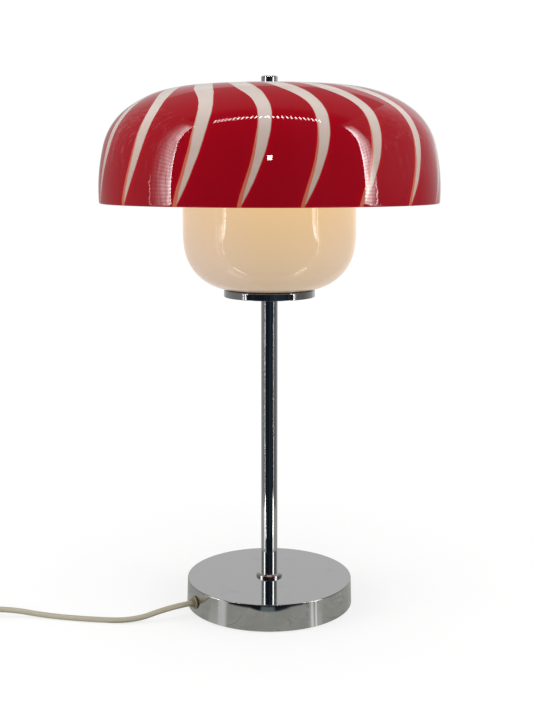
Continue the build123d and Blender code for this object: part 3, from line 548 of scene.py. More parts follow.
def shade_section(inset, steps):
    """Section from just above the rim to the crown's hole: tangent arcs, moved in by an inset."""
    radius = shade_bend_radii[0]
    centre = np.array([shade_radius - radius, shade_low.z + shade_widest])
    start = -np.degrees(np.arcsin((shade_widest - shade_rim_round) / (radius - inset)))
    pieces = []
    for end, following in zip(shade_bend_ends, [*shade_bend_radii[1:], None]):
        pieces.append(arc_points(centre, radius - inset, start, end, steps))
        direction = np.array([cos(radians(end)), sin(radians(end))])
        crown = following is None
        new_radius = radius + centre[0] / direction[0] if crown else following
        centre = centre + (radius - new_radius) * direction
        radius, start = new_radius, end
    hole = np.degrees(np.arccos(shade_hole_radius / (radius - inset)))
    pieces.append(arc_points(centre, radius - inset, start, hole, 2 * steps))
    return np.vstack([piece[1:] if k else piece for k, piece in enumerate(pieces)])


outer_steps, inner_steps = 26, 14      # points on each arc
shade_outer = shade_section(0, outer_steps)
shade_inner = shade_section(shade_wall, inner_steps)
rim_outer, rim_inner = shade_outer[0, 0], shade_inner[0, 0]
rim_height = shade_low.z + shade_rim_round
rim_arc_in = arc_points((rim_inner + shade_rim_round, rim_height), shade_rim_round, 180, 270, 6)
rim_arc_out = arc_points((rim_outer - shade_rim_round, rim_height), shade_rim_round, 270, 360, 6)
shade_profile = np.vstack([shade_outer, shade_inner[::-1], rim_arc_in, rim_arc_out[:-1]])
print("shade section points:", len(shade_profile), "crown at", round(shade_outer[-1, 1], 4))

# %% [markdown]
# ### Where the stripes run
#
# Azimuths are degrees from the front, growing to the right. Eight stripes show in the
# photograph; the rest of the ring is filled at about the same spacing. Three formulas give a
# stripe's turn: a quarter sine up the side, a parabola back over the shoulder, and a
# logarithmic spiral on the crown, which meets every circle at the same angle.

# %% Stripe course
stripe_azimuths = [-95.0, -73.8, -52.2, -29.3, -8.9, 9.7, 28.3, 48.8, 69.3,
                   90.2, 111.9, 133.6, 156.5, 177.8, 199.0, 221.5, 242.8]
stripe_count = len(stripe_azimuths)
stripe_lean = 7.4          # degrees to the right between the rim and the shoulder
lean_length = 0.070        # along the glass, from the rim to where the stripe stands up
turn_back = 0.0052e6       # degrees per square metre over the shoulder
crown_start = 0.109        # along the glass, where the spiral begins
spiral = 39.0              # degrees for each e-fold of radius


def stripe_turn(along, radius):
    """Degrees that a stripe has turned from its place at the rim."""
    side = stripe_lean * np.sin(pi / 2 * np.clip(along / lean_length, 0, 1))
    past = np.clip(along, lean_length, crown_start) - lean_length
    crown_radius = np.interp(crown_start, along[: len(shade_outer)], radius[: len(shade_outer)])
    wound = np.where(along > crown_start, np.log(crown_radius / np.minimum(radius, crown_radius)), 0)
    return side - turn_back * past**2 - spiral * wound


def stripe_number(azimuth):
    """Whole at each stripe's middle and even between two: a coordinate that counts stripes."""
    base = np.array(stripe_azimuths)
    ring = np.concatenate([base - 360, base, base + 360])
    count = np.arange(-stripe_count, 2 * stripe_count)
    return np.interp(azimuth, ring, count)


def along_glass(profile, outer_count):
    """Distance from the rim for each row, the inner wall measured back from the crown."""
    step = np.linalg.norm(np.diff(profile, axis=0), axis=1)
    run = np.concatenate([[0], np.cumsum(step)])
    crown = run[outer_count - 1]
    return np.where(np.arange(len(profile)) < outer_count, run, np.maximum(2 * crown - run, 0))


# %% Shade mesh
shade_segments = 408
along = along_glass(shade_profile, len(shade_outer))
turn = stripe_turn(along, shade_profile[:, 0])
azimuth = np.linspace(-180, 180, shade_segments + 1)
number = stripe_number(azimuth[None, :] - turn[:, None])
shade_uv = np.stack([number, np.repeat(along[:, None], shade_segments + 1, axis=1)], axis=-1)
shade_uv = np.concatenate([shade_uv, shade_uv[:1]], axis=0)
angle = np.radians(azimuth[:-1])
shade_points = np.stack([
    shade_profile[:, :1] * np.sin(angle),
    -shade_profile[:, :1] * np.cos(angle),
    shade_profile[:, 1:] * np.ones_like(angle),
], axis=-1)
shade = grid_object("striped_glass_shade", shade_points, shade_uv, close_rows=True, sharp=50.0)
print("shade faces:", len(shade.data.polygons), "stripes:", stripe_count)

# %% [markdown]
# ### Red glass and white stripes
#
# The stripe's half width is a curve of the distance along the glass: thin at the rim, where the trail
# was pulled out, broad at the shoulder, and in step with the spacing on the crown. The gaffer's hand
# shows as a slight wander of both edges. On its left side the red glass thins out to orange before the
# white begins, and on the right a fine brown line is painted shade along the stripe's edge under the
# clear casing. Beside each stripe the red is a little brighter.

# %% Shade finish
stripe_widths = [           # distance along the glass as a share of curve_length, half width in stripes
    (0.0, 0.030), (0.025, 0.047), (0.065, 0.065), (0.13, 0.080), (0.23, 0.102),
    (0.33, 0.117), (0.42, 0.145), (0.49, 0.215), (0.56, 0.255), (1.0, 0.25),
]
curve_length = 0.215


def shade_finish():
    """Cased glass whose two UV numbers are the stripe count and the distance along the glass."""
    glass = Finish("striped_red_glass")
    count, distance, _ = glass.axes(glass.add("ShaderNodeUVMap", uv_map="UVMap").outputs["UV"])
    wander = glass.noise(60.0, 4.0, 0.55) - 0.5
    fine = glass.noise(700.0, 2.0, 0.5) - 0.5
    offset = (count + (0.5 + stripe_count)).math("FRACT") - 0.5 + wander * 0.022 + fine * 0.006
    curve = glass.add("ShaderNodeFloatCurve", {"Value": distance / curve_length})
    knots = curve.mapping.curves[0].points
    for place, width in stripe_widths[1:-1]:
        knots.new(place, width)
    knots[0].location = stripe_widths[0]
    knots[len(knots) - 1].location = stripe_widths[-1]
    curve.mapping.update()
    half = Number(glass, curve.outputs["Value"])

    white = glass.spread(half - abs(offset), -0.002, 0.004, 0.0, 1.0, smooth=True)
    inside = offset + half
    orange_width = glass.spread(distance, 0.0, 0.070, 0.055, 0.018)
    orange = glass.spread(orange_width - inside, -0.006, 0.008, 0.0, 1.0, smooth=True)
    orange = orange * glass.spread(inside, -0.010, -0.002, 0.0, 1.0, smooth=True)
    orange = orange * glass.spread(distance, 0.045, 0.080, 1.0, 0.0)
    halo = glass.spread(abs(offset - 0.010) - half, 0.012, 0.080, 0.42, 0.0)
    # Painted shade: a fine brown line along the right edge of each stripe.
    brown = glass.spread(abs(offset - half + 0.004), 0.010, 0.002, 0.0, 0.65, smooth=True)

    # Painted light: the red grows lighter from the rim up the dome, where more light falls.
    height = glass.spread(distance, 0.0, 0.14, 0.0, 1.0, smooth=True)
    depth = glass.spread(glass.noise(9.0, 3.0, 0.5), 0.35, 0.65, 0.0, 0.4)
    red = glass.mix(height, srgb(138, 8, 24), srgb(160, 8, 24))
    red = glass.mix(depth, red, srgb(148, 6, 22))
    red = glass.mix(halo, red, srgb(170, 4, 20))
    low = glass.spread(distance, 0.0, 0.05, 0.0, 1.0)
    thin = glass.mix(low, srgb(166, 140, 127), srgb(186, 166, 157))
    cloudy = glass.spread(glass.noise(45.0, 4.0, 0.6), 0.3, 0.7, 0.0, 0.25)
    cloudy = cloudy + glass.spread(distance, 0.045, 0.090, 0.0, 0.75, smooth=True)
    colour = glass.mix(white, red, glass.mix(cloudy, thin, srgb(209, 196, 188)))
    colour = glass.mix(orange, colour, srgb(184, 96, 74))
    colour = glass.mix(brown, colour, srgb(132, 60, 44))
    glass.set(Base_Color=colour, Roughness=0.03, IOR=1.45)
    glass.bump(glass.noise(22.0, 2.0, 0.5), 0.02, 0.002)
    return glass


striped_glass = shade_finish()
dress(shade, striped_glass)
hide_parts("shade_glass")
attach(shade, "shade")
print("shade material nodes:", len(striped_glass.tree.nodes))

# %% [markdown]
# ## Where the cord leaves the base
#
# A moulded grommet lines the hole in the base: a round flange outside, a short tapered boss,
# and a neck through the wall. It is turned about its own axis and then laid along the cord's
# exit, with its place worked into the mesh.

# %% Cord grommet
cord_diameter = 0.0050
exit_azimuth = 208.7       # degrees from +X towards +Y
exit_height = 0.0120
exit_out = np.array([cos(radians(exit_azimuth)), sin(radians(exit_azimuth)), 0.0])
exit_side = np.array([-exit_out[1], exit_out[0], 0.0])
exit_up = np.array([0.0, 0.0, 1.0])
exit_origin = np.array([0.0, 0.0, exit_height])
grommet_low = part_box("cord_grommet")[0]
flange_radius = 0.0059
flange_thickness = 0.0012
boss_radius = 0.0042
boss_tip_radius = 0.0037
boss_length = 0.0030
neck_radius = 0.0040
neck_length = 0.0095
grommet_bore = cord_diameter / 2 + 0.00005
# The grommet's lowest x is the far side of its boss's tip.
exit_reach = (-grommet_low.x - boss_tip_radius * abs(exit_side[0])) / abs(exit_out[0])
flange_face = exit_reach - boss_length - flange_thickness
neck_end = flange_face - neck_length


def lay_along(piece, origin, axis_x, axis_y, axis_z):
    """Moves a mesh from the Z axis to another axis, its place worked into its points."""
    count = len(piece.data.vertices)
    points = np.empty(count * 3, np.float32)
    piece.data.vertices.foreach_get("co", points)
    turned_points = points.reshape(-1, 3) @ np.array([axis_x, axis_y, axis_z]) + origin
    piece.data.vertices.foreach_set("co", turned_points.astype(np.float32).ravel())
    piece.data.update()
    return piece


grommet_profile = rounded([
    (grommet_bore, exit_reach, 0.0003),
    (grommet_bore, neck_end, 0),
    (neck_radius, neck_end, 0.0002),
    (neck_radius, flange_face, 0),
    (flange_radius, flange_face, 0.0002),
    (flange_radius, flange_face + flange_thickness, 0.0005),
    (boss_radius, flange_face + flange_thickness, 0.0004),
    (boss_tip_radius, exit_reach, 0.0004),
])
grommet = turned("cord_grommet_moulded", grommet_profile, 96)
lay_along(grommet, exit_origin, exit_side, exit_up, exit_out)
print("grommet: cord leaves", round(exit_reach, 5), "from the axis")

# %% [markdown]
# ## Moulded plastic
#
# The grommet, switch and plug are injection moulded in ivory. Spark-eroded moulds leave a fine
# even grain, handling leaves it slightly glossier in patches, and the colour yellows unevenly.

# %% Plastic
def plastic_finish(name, first, second, rough=0.38, grain=0.05):
    """Moulded plastic: two near colours in soft clouds, and a fine grain."""
    plastic = Finish(name)
    clouds = plastic.noise(55.0, 3.0, 0.5)
    handled = plastic.spread(plastic.noise(140.0, 3.0, 0.6), 0.35, 0.7, rough - 0.07, rough + 0.07)
    plastic.set(Base_Color=plastic.mix(clouds, first, second), Roughness=handled, IOR=1.5)
    plastic.bump(plastic.noise(2600.0, 2.0, 0.5), grain, 0.0003)
    return plastic


grommet_plastic = plastic_finish("grommet_plastic", srgb(132, 124, 102), srgb(116, 108, 88))
ivory = plastic_finish("ivory_plastic", srgb(226, 220, 200), srgb(216, 209, 188))
ivory_rocker = plastic_finish(
    "ivory_rocker_plastic", srgb(232, 227, 210), srgb(222, 216, 198), 0.28, 0.02)
white_plastic = plastic_finish("white_plastic", srgb(226, 225, 220), srgb(216, 215, 209))
dress(grommet, grommet_plastic)
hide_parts("cord_grommet")
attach(grommet, "lamp")

# %% [markdown]
# ## The cord's line
#
# A cord is a fixed length of something springy that lies under its own weight. Each stretch of it is
# one smooth NURBS spline led by a short list of given points, and the part that is put away is wound in
# a coil, worked out turn by turn. The spline follows its control points from inside, so they stand a
# little further out than the cord will lie.

# %% Spline helper
def cord_line(name, points):
    """Points along one open NURBS spline with these control points."""
    data = bpy.data.curves.new(name, "CURVE")
    data.dimensions = "3D"
    data.resolution_u = 6
    spline = data.splines.new("NURBS")
    spline.points.add(len(points) - 1)
    for control, place in zip(spline.points, points):
        control.co = (*place, 1.0)
    spline.order_u = 3
    spline.use_endpoint_u = True
    holder = bpy.data.objects.new(name, data)
    bpy.context.scene.collection.objects.link(holder)
    mesh = bpy.data.meshes.new_from_object(holder)
    line = np.empty(len(mesh.vertices) * 3)
    mesh.vertices.foreach_get("co", line)
    bpy.data.objects.remove(holder)
    bpy.data.curves.remove(data)
    bpy.data.meshes.remove(mesh)
    line = line.reshape(-1, 3)
    keep = np.concatenate([[True], np.linalg.norm(np.diff(line, axis=0), axis=1) > 1e-6])
    return line[keep]


def line_length(line):
    """Length of a line of points."""
    return float(np.linalg.norm(np.diff(line, axis=0), axis=1).sum())


# %% Cord as a tube
def tube_along(name, line, radius, columns=20):
    """Round tube: a ring of points about the line, square to it and never twisting.

    UV: turns round the cord, and metres along it."""
    forward = np.gradient(line, axis=0)
    forward /= np.linalg.norm(forward, axis=1, keepdims=True)
    side = np.cross(forward, [0.0, 0.0, 1.0])
    side /= np.linalg.norm(side, axis=1, keepdims=True)
    up = np.cross(side, forward)
    angle = np.linspace(0, 2 * pi, columns, endpoint=False)
    ring = side[:, None] * np.cos(angle)[:, None] + up[:, None] * np.sin(angle)[:, None]
    points = line[:, None] + radius * ring
    ends = np.repeat(line[[0, -1], None], columns, axis=1)
    points = np.concatenate([ends[:1], points, ends[1:]], axis=0)
    run = np.concatenate([[0, 0], np.cumsum(np.linalg.norm(np.diff(line, axis=0), axis=1))])
    run = np.concatenate([run, run[-1:]])
    uv = np.stack(np.meshgrid(np.linspace(0, 1, columns + 1), run), axis=-1)
    return grid_object(name, points, uv, sharp=50.0)


# %% [markdown]
# ## The cord's route
#
# The cord leaves the base straight, comes down to the table, wanders to its switch, and the
# rest is wound in a neat coil with the plug beside it.

# %% Lead from the base to the switch
cord_radius = cord_diameter / 2
switch_low, switch_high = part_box("switch_cover")
switch_place = (switch_low + switch_high) / 2
port_height = 0.0080
port_inset = 0.01405       # from the switch's middle to where the sheath ends inside
exit_point = exit_origin + exit_out * exit_reach
lead_route = [
    tuple(exit_point),
    tuple(exit_point + exit_out * 0.022),
    (-0.121, -0.057, cord_radius),
    (-0.163, -0.053, cord_radius),
    (-0.202, -0.0445, cord_radius),
    (-0.236, switch_place.y, port_height),
    (switch_place.x + port_inset, switch_place.y, port_height),
]
lead_line = cord_line("lead_route", lead_route)
lead = tube_along("cord_to_switch", lead_line, cord_radius)
print("lead length:", round(line_length(lead_line), 4))

# %% Coil
coil_centre = (-0.366, -0.0077)
coil_start_radius = 0.0343
coil_pitch = 0.0057            # radial step a turn
coil_layer_pitch = 0.0056
coil_flat_quarters = 6
coil_climb_quarters = 2
coil_quarters = 29
coil_start_azimuth = -90.0
coil_points_per_quarter = 4
layer_quarters = coil_flat_quarters + coil_climb_quarters


def coil_place(k):
    """Point after k quarter turns, clockwise from above.

    The radius falls by one pitch a turn in one layer and grows in the next; between two layers
    the rate fades evenly and the height follows an even S."""
    layer, inside = np.divmod(k, layer_quarters)
    climbing = np.clip(inside - coil_flat_quarters, 0, None)
    travel = np.minimum(inside, coil_flat_quarters) + climbing * (1 - climbing / coil_climb_quarters)
    travel = np.where(layer % 2 == 0, travel, coil_flat_quarters - travel)
    radius = coil_start_radius - coil_pitch / 4 * travel
    share = climbing / coil_climb_quarters
    height = cord_radius + coil_layer_pitch * (layer + share**2 * (3 - 2 * share))
    azimuth = np.radians(coil_start_azimuth - 90 * k)
    x = coil_centre[0] + radius * np.cos(azimuth)
    y = coil_centre[1] + radius * np.sin(azimuth)
    return np.stack([x, y, height], axis=-1)


def coil_heading(k, step=0.001):
    """Unit direction of the winding, from two points close on each side."""
    run = coil_place(min(k + step, coil_quarters)) - coil_place(max(k - step, 0.0))
    return run / np.linalg.norm(run)


turn_step = 90 / coil_points_per_quarter
# A spline of order 3 runs inside its control points; on a circle this factor makes up for it.
ease = 1 / (0.75 + 0.25 * cos(radians(turn_step)))
winding = coil_place(np.linspace(0, coil_quarters, coil_quarters * coil_points_per_quarter + 1))
middle = np.array(coil_centre)
winding[:, :2] = middle + (winding[:, :2] - middle) * ease
coil_in, coil_out = coil_place(np.array(0.0)), coil_place(np.array(float(coil_quarters)))
heading_in, heading_out = coil_heading(0.0), coil_heading(float(coil_quarters))
print("coil control points:", len(winding))

# %% Rest of the cord, from the switch to the plug
plug_body_low, plug_body_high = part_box("plug_body")
plug_height = plug_body_high.z / 2
plug_port = (-0.350, 0.0865, plug_height)
before_plug = (-0.364, 0.0845, plug_height)
rest_route = [
    (switch_place.x - port_inset, switch_place.y, port_height),
    (-0.323, switch_place.y, port_height),
    tuple(coil_in - heading_in * 0.018),
    tuple(coil_in - heading_in * 0.005),
    *[tuple(point) for point in winding],
    tuple(coil_out + heading_out * 0.005),
    tuple(coil_out + heading_out * 0.022),
    (-0.3995, 0.031, 0.009),
    (-0.398, 0.049, 0.0027),
    (-0.392, 0.066, cord_radius),
    (-0.380, 0.078, 0.0036),
    before_plug,
    plug_port,
]
rest_line = cord_line("rest_route", rest_route)
rest = tube_along("cord_to_plug", rest_line, cord_radius)
print("rest of the cord:", round(line_length(rest_line), 4))


# %% [markdown]
# ## The cord's jacket
#
# A soft ivory jacket over two conductors, which show through it faintly as darker lines.

# %% Cord finish
def cord_finish():
    """Ivory jacket: U runs round the cord, so bands of U are lines along it."""
    jacket = Finish("ivory_cord_jacket")
    turn = jacket.axes(jacket.add("ShaderNodeUVMap", uv_map="UVMap").outputs["UV"])[0]
    core = abs((turn * 2.0).math("FRACT") - 0.12)
    shown = jacket.spread(core, 0.16, 0.03, 0.0, 0.55, smooth=True)
    clouds = jacket.noise(90.0, 3.0, 0.5)
    ivory_colour = jacket.mix(clouds, srgb(176, 170, 150), srgb(164, 157, 137))
    jacket.set(Base_Color=jacket.mix(shown, ivory_colour, srgb(118, 110, 90)))
    jacket.set(Roughness=jacket.spread(clouds, 0.3, 0.7, 0.30, 0.42), IOR=1.5)
    jacket.bump(jacket.noise(1500.0, 2.0, 0.5), 0.04, 0.0003)
    return jacket


cord_jacket = cord_finish()
dress(lead, cord_jacket)
dress(rest, cord_jacket)
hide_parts("cord_lead")
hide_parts("cord_link", "cord_coil", "cord_tail")
for piece in (lead, rest):
    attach(piece, "lamp")

# %% [markdown]
# ## The plug
#
# A flat two-pin plug: its section grows from a small oblong at the cord to a wide one at the
# face, along a soft S, and stays a rounded oblong all the way. Moulded ribs ring the strain
# relief.

# %% Plug body
plug_run = np.array(plug_port) - np.array(before_plug)
plug_axis = plug_run / np.linalg.norm(plug_run)
plug_side = np.array([-plug_axis[1], plug_axis[0], 0.0])
plug_width, plug_thickness = 0.0353, plug_body_high.z - plug_body_low.z
plug_relief_length, plug_body_length = 0.0120, 0.0320
relief_sleeve = 0.0120         # the ribbed sleeve also covers this much of the cord
rear_width, rear_thickness = 0.0150, 0.0105
swell_length = 0.0176
relief_radius, relief_growth = 0.0030, 0.0016
rib_height, rib_pitch = 0.0005, 0.0030
face_round, face_inset = 0.002, 0.0016


def oblong(width, thickness, angle, power=4.0):
    """Rounded oblong: a circle's cosine and sine, each raised to the power 2 / n."""
    c, s = np.cos(angle), np.sin(angle)
    return (
        width / 2 * np.sign(c) * np.abs(c) ** (2 / power),
        thickness / 2 * np.sign(s) * np.abs(s) ** (2 / power),
    )


def plug_surface(rows=90, columns=72):
    """Plug body: distance d along the cord times angle round it.

    Width = rear width + (full width - rear width) s^2 (3 - 2 s), where s runs from 0 to 1 over
    the swell; thickness likewise. At the face both shrink along a quarter of an ellipse."""
    distance = np.linspace(-relief_sleeve, plug_relief_length + plug_body_length, rows)
    share = np.clip((distance - plug_relief_length) / swell_length, 0, 1)
    swell = share**2 * (3 - 2 * share)
    taper = np.clip((distance + relief_sleeve) / (relief_sleeve + plug_relief_length), 0, 1)
    relief = 2 * (relief_radius + relief_growth * taper)
    ridge = np.cos(2 * pi * distance / rib_pitch) > 0
    relief = relief + np.where(taper < 1, rib_height * ridge, 0)
    body = distance > plug_relief_length
    end = plug_relief_length + plug_body_length - distance
    bow = np.sqrt(np.clip(1 - (1 - end / face_round) ** 2, 0, 1))
    ease_off = np.where(end < face_round, face_inset * (1 - bow), 0)
    wide = rear_width + (plug_width - rear_width) * swell
    high = rear_thickness + (plug_thickness - rear_thickness) * swell
    width = np.where(body, wide, relief) - ease_off
    thick = np.where(body, high, relief) - ease_off
    power = np.where(body, 4.5, 2.0)
    angle = np.linspace(0, 2 * pi, columns, endpoint=False)
    across, up = oblong(width[:, None], thick[:, None], angle[None, :], power[:, None])
    points = (
        np.array(plug_port)
        + plug_axis * distance[:, None, None]
        + plug_side * across[..., None]
        + exit_up * up[..., None]
    )
    ends = np.stack([points[0].mean(0), points[-1].mean(0)])
    caps = np.repeat(ends[:, None], columns, axis=1)
    return np.concatenate([caps[:1], points, caps[1:]], axis=0)


plug_body = grid_object("plug_body_moulded", plug_surface(), sharp=40.0)
dress(plug_body, ivory)
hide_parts("plug_body")
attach(plug_body, "lamp")
print("plug faces:", len(plug_body.data.polygons))

# %% [markdown]


# %% [markdown]
# ## Metals, rubber and the rest
#
# The imported pieces that keep their shape still need finishes. Most are inside and show only
# from below, or when the lamp is taken apart, yet each is made of something: plated steel,
# brass, cast iron, rubber, porcelain.

# %% Plain metals
def metal_finish(name, first, second, rough, clouds=120.0):
    """Metal whose colour and gloss drift in small clouds."""
    metal = Finish(name)
    drift = metal.noise(clouds, 4.0, 0.6)
    metal.set(Metallic=1.0, Base_Color=metal.mix(drift, first, second))
    metal.set(Roughness=metal.spread(drift, 0.3, 0.7, rough - 0.06, rough + 0.08))
    metal.bump(metal.noise(clouds * 12, 3.0, 0.6), 0.05, 0.0004)
    return metal


def matt_finish(name, first, second, rough, grain, scale=400.0, depth=0.0006):
    """Matt material with a visible grain."""
    matt = Finish(name)
    drift = matt.noise(scale, 4.0, 0.6)
    matt.set(Base_Color=matt.mix(drift, first, second), Roughness=rough, IOR=1.45)
    matt.bump(matt.noise(scale * 3, 3.0, 0.6), grain, depth)
    return matt


zinc = metal_finish("zinc_plated_steel", (0.60, 0.61, 0.60, 1), (0.50, 0.50, 0.46, 1), 0.30)
brass = metal_finish("brass", (0.72, 0.50, 0.22, 1), (0.62, 0.42, 0.17, 1), 0.24)
nickel = metal_finish("nickel_plated_brass", (0.70, 0.68, 0.62, 1), (0.60, 0.58, 0.52, 1), 0.18)
solder = metal_finish("solder_tip", (0.50, 0.50, 0.50, 1), (0.38, 0.38, 0.38, 1), 0.40, 500.0)
cast_iron = matt_finish("cast_iron", srgb(62, 60, 58), srgb(44, 42, 41), 0.75, 0.6)
rubber = matt_finish("black_rubber", srgb(26, 26, 27), srgb(18, 18, 19), 0.62, 0.25)
foam = matt_finish("foot_foam", srgb(34, 34, 36), srgb(24, 24, 26), 0.92, 0.7, 900.0)
ceramic = matt_finish("porcelain", srgb(226, 222, 212), srgb(214, 209, 198), 0.22, 0.05)
black_glass = matt_finish("black_glass_insulator", srgb(20, 18, 26), srgb(12, 11, 16), 0.12, 0.04)
brown_sheath = matt_finish("brown_wire_sheath", srgb(96, 56, 32), srgb(84, 48, 28), 0.45, 0.1)
blue_sheath = matt_finish("blue_wire_sheath", srgb(40, 78, 150), srgb(34, 68, 134), 0.45, 0.1)
clear_plastic = plastic_finish(
    "clear_washer_plastic", srgb(214, 212, 206), srgb(202, 200, 194), 0.22, 0.02)


# %% [markdown]
# ## The bulb, lit
#
# A screw bulb with long filaments. Lit, the glass itself seems to glow, so the glass has a warm
# emission of its own, and the filaments a stronger one.

# %% Glow
def glow_finish(name, colour, strength, base):
    """Glass or wire that shines, with a slight drift in its brightness."""
    glow = Finish(name)
    drift = glow.noise(60.0, 2.0, 0.5)
    dim = tuple(0.9 * part for part in colour[:3]) + (1.0,)
    glow.set(Base_Color=base, Roughness=0.1, IOR=1.5)
    glow.set(Emission_Color=glow.mix(drift, colour, dim), Emission_Strength=strength)
    return glow


lit_bulb = glow_finish("lit_bulb_glass", (1.0, 0.80, 0.52, 1.0), 3.0, srgb(240, 232, 214))
lit_filament = glow_finish("lit_filament", (1.0, 0.72, 0.38, 1.0), 8.0, srgb(250, 230, 190))

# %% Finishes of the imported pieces
node_finishes = (
    (foam, "foot_pad"),
    (zinc, "base_bottom_plate base_screws threaded_rod base_washer base_lock_washer base_nut"),
    (zinc, "clamp_washer shade_stud switch_axle switch_screws"),
    (cast_iron, "base_weight"),
    (ivory, "grommet_nut cord_clamp switch_base switch_cover"),
    (ivory_rocker, "switch_rocker"),
    (cord_jacket, "cord_inside_base"),
    (brown_sheath, "wire_live"),
    (blue_sheath, "wire_neutral"),
    (rubber, "plate_gasket clamp_gasket shade_washer_lower"),
    (brass, "clamp_nut holder_terminals holder_contact switch_contacts"),
    (nickel, "holder_shell bulb_cap plug_pins"),
    (white_plastic, "holder_cap holder_body"),
    (ceramic, "holder_insert"),
    (lit_bulb, "bulb_glass"),
    (solder, "bulb_contact"),
    (black_glass, "bulb_insulator"),
    (lit_filament, "bulb_stem bulb_filaments"),
    (chrome, "harp_saddle harp_wire harp_boss shade_support"),
    (clear_plastic, "shade_bush shade_washer_upper"),
)
dressed = set()
for finish, names in node_finishes:
    for node in names.split():
        dress(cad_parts[node], finish)
        dressed.add(node)
shown_nodes = {name for name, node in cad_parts.items() if not node.hide_render}
print("packed pieces dressed:", len(dressed), "left:", sorted(shown_nodes - dressed))

# %% [markdown]
# ## The studio
#
# Chrome and gloss show the studio, so the studio is part of the look. The lamp stands on a pale
# floor before a white background. The floor and the background appear to the camera as plain
# white with a soft shadow, and to the chrome as the inside of a white tent: mid-grey floor,
# light grey walls, and an open front with a dark room behind it, framed by rows of small lights.

# %% Floor
def stage_faces(name, corners, material):
    """Stage piece of separate faces with four corners each: corners[face, corner]."""
    points = np.reshape(corners, (-1, 3))
    mesh = bpy.data.meshes.new(name)
    mesh.from_pydata(points.tolist(), [], np.arange(len(points)).reshape(-1, 4).tolist())
    card = bpy.data.objects.new(name, mesh)
    card.data.materials.append(material)
    bpy.context.scene.collection.objects.link(card)
    card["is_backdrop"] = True
    return card


floor_half = 6.0
disc_centre_x = 0.003      # the lamp stands on a pale disc
disc_radius = 0.1412
disc_front = -0.1325       # the disc's front is cut straight
floor_front = -0.104       # the tent's floor ends here; only the disc reaches further
# Painted reflections of the rows of lights in the glossy tent floor, drawn as light streaks: start (x,
# y), slope, half width, strength, and the distance from the lamp's axis at which each begins.
streaks = [
    (-0.0132, -0.0526, 0.430, 0.19, 0.42, 0.0),
    (0.0113, -0.0518, -0.560, 0.07, 0.52, 0.0),
    (0.0113, -0.0518, -0.425, 0.04, 0.62, 0.0),
    (-0.0060, -0.0035, 0.330, 0.20, 1.60, 0.158),
    (0.0060, -0.0035, -0.680, 0.28, 1.60, 0.158),
    (-0.0100, -0.0800, 0.385, 0.030, 9.00, 0.195),
    (0.0100, -0.0700, -0.372, 0.026, 10.0, 0.205),
]


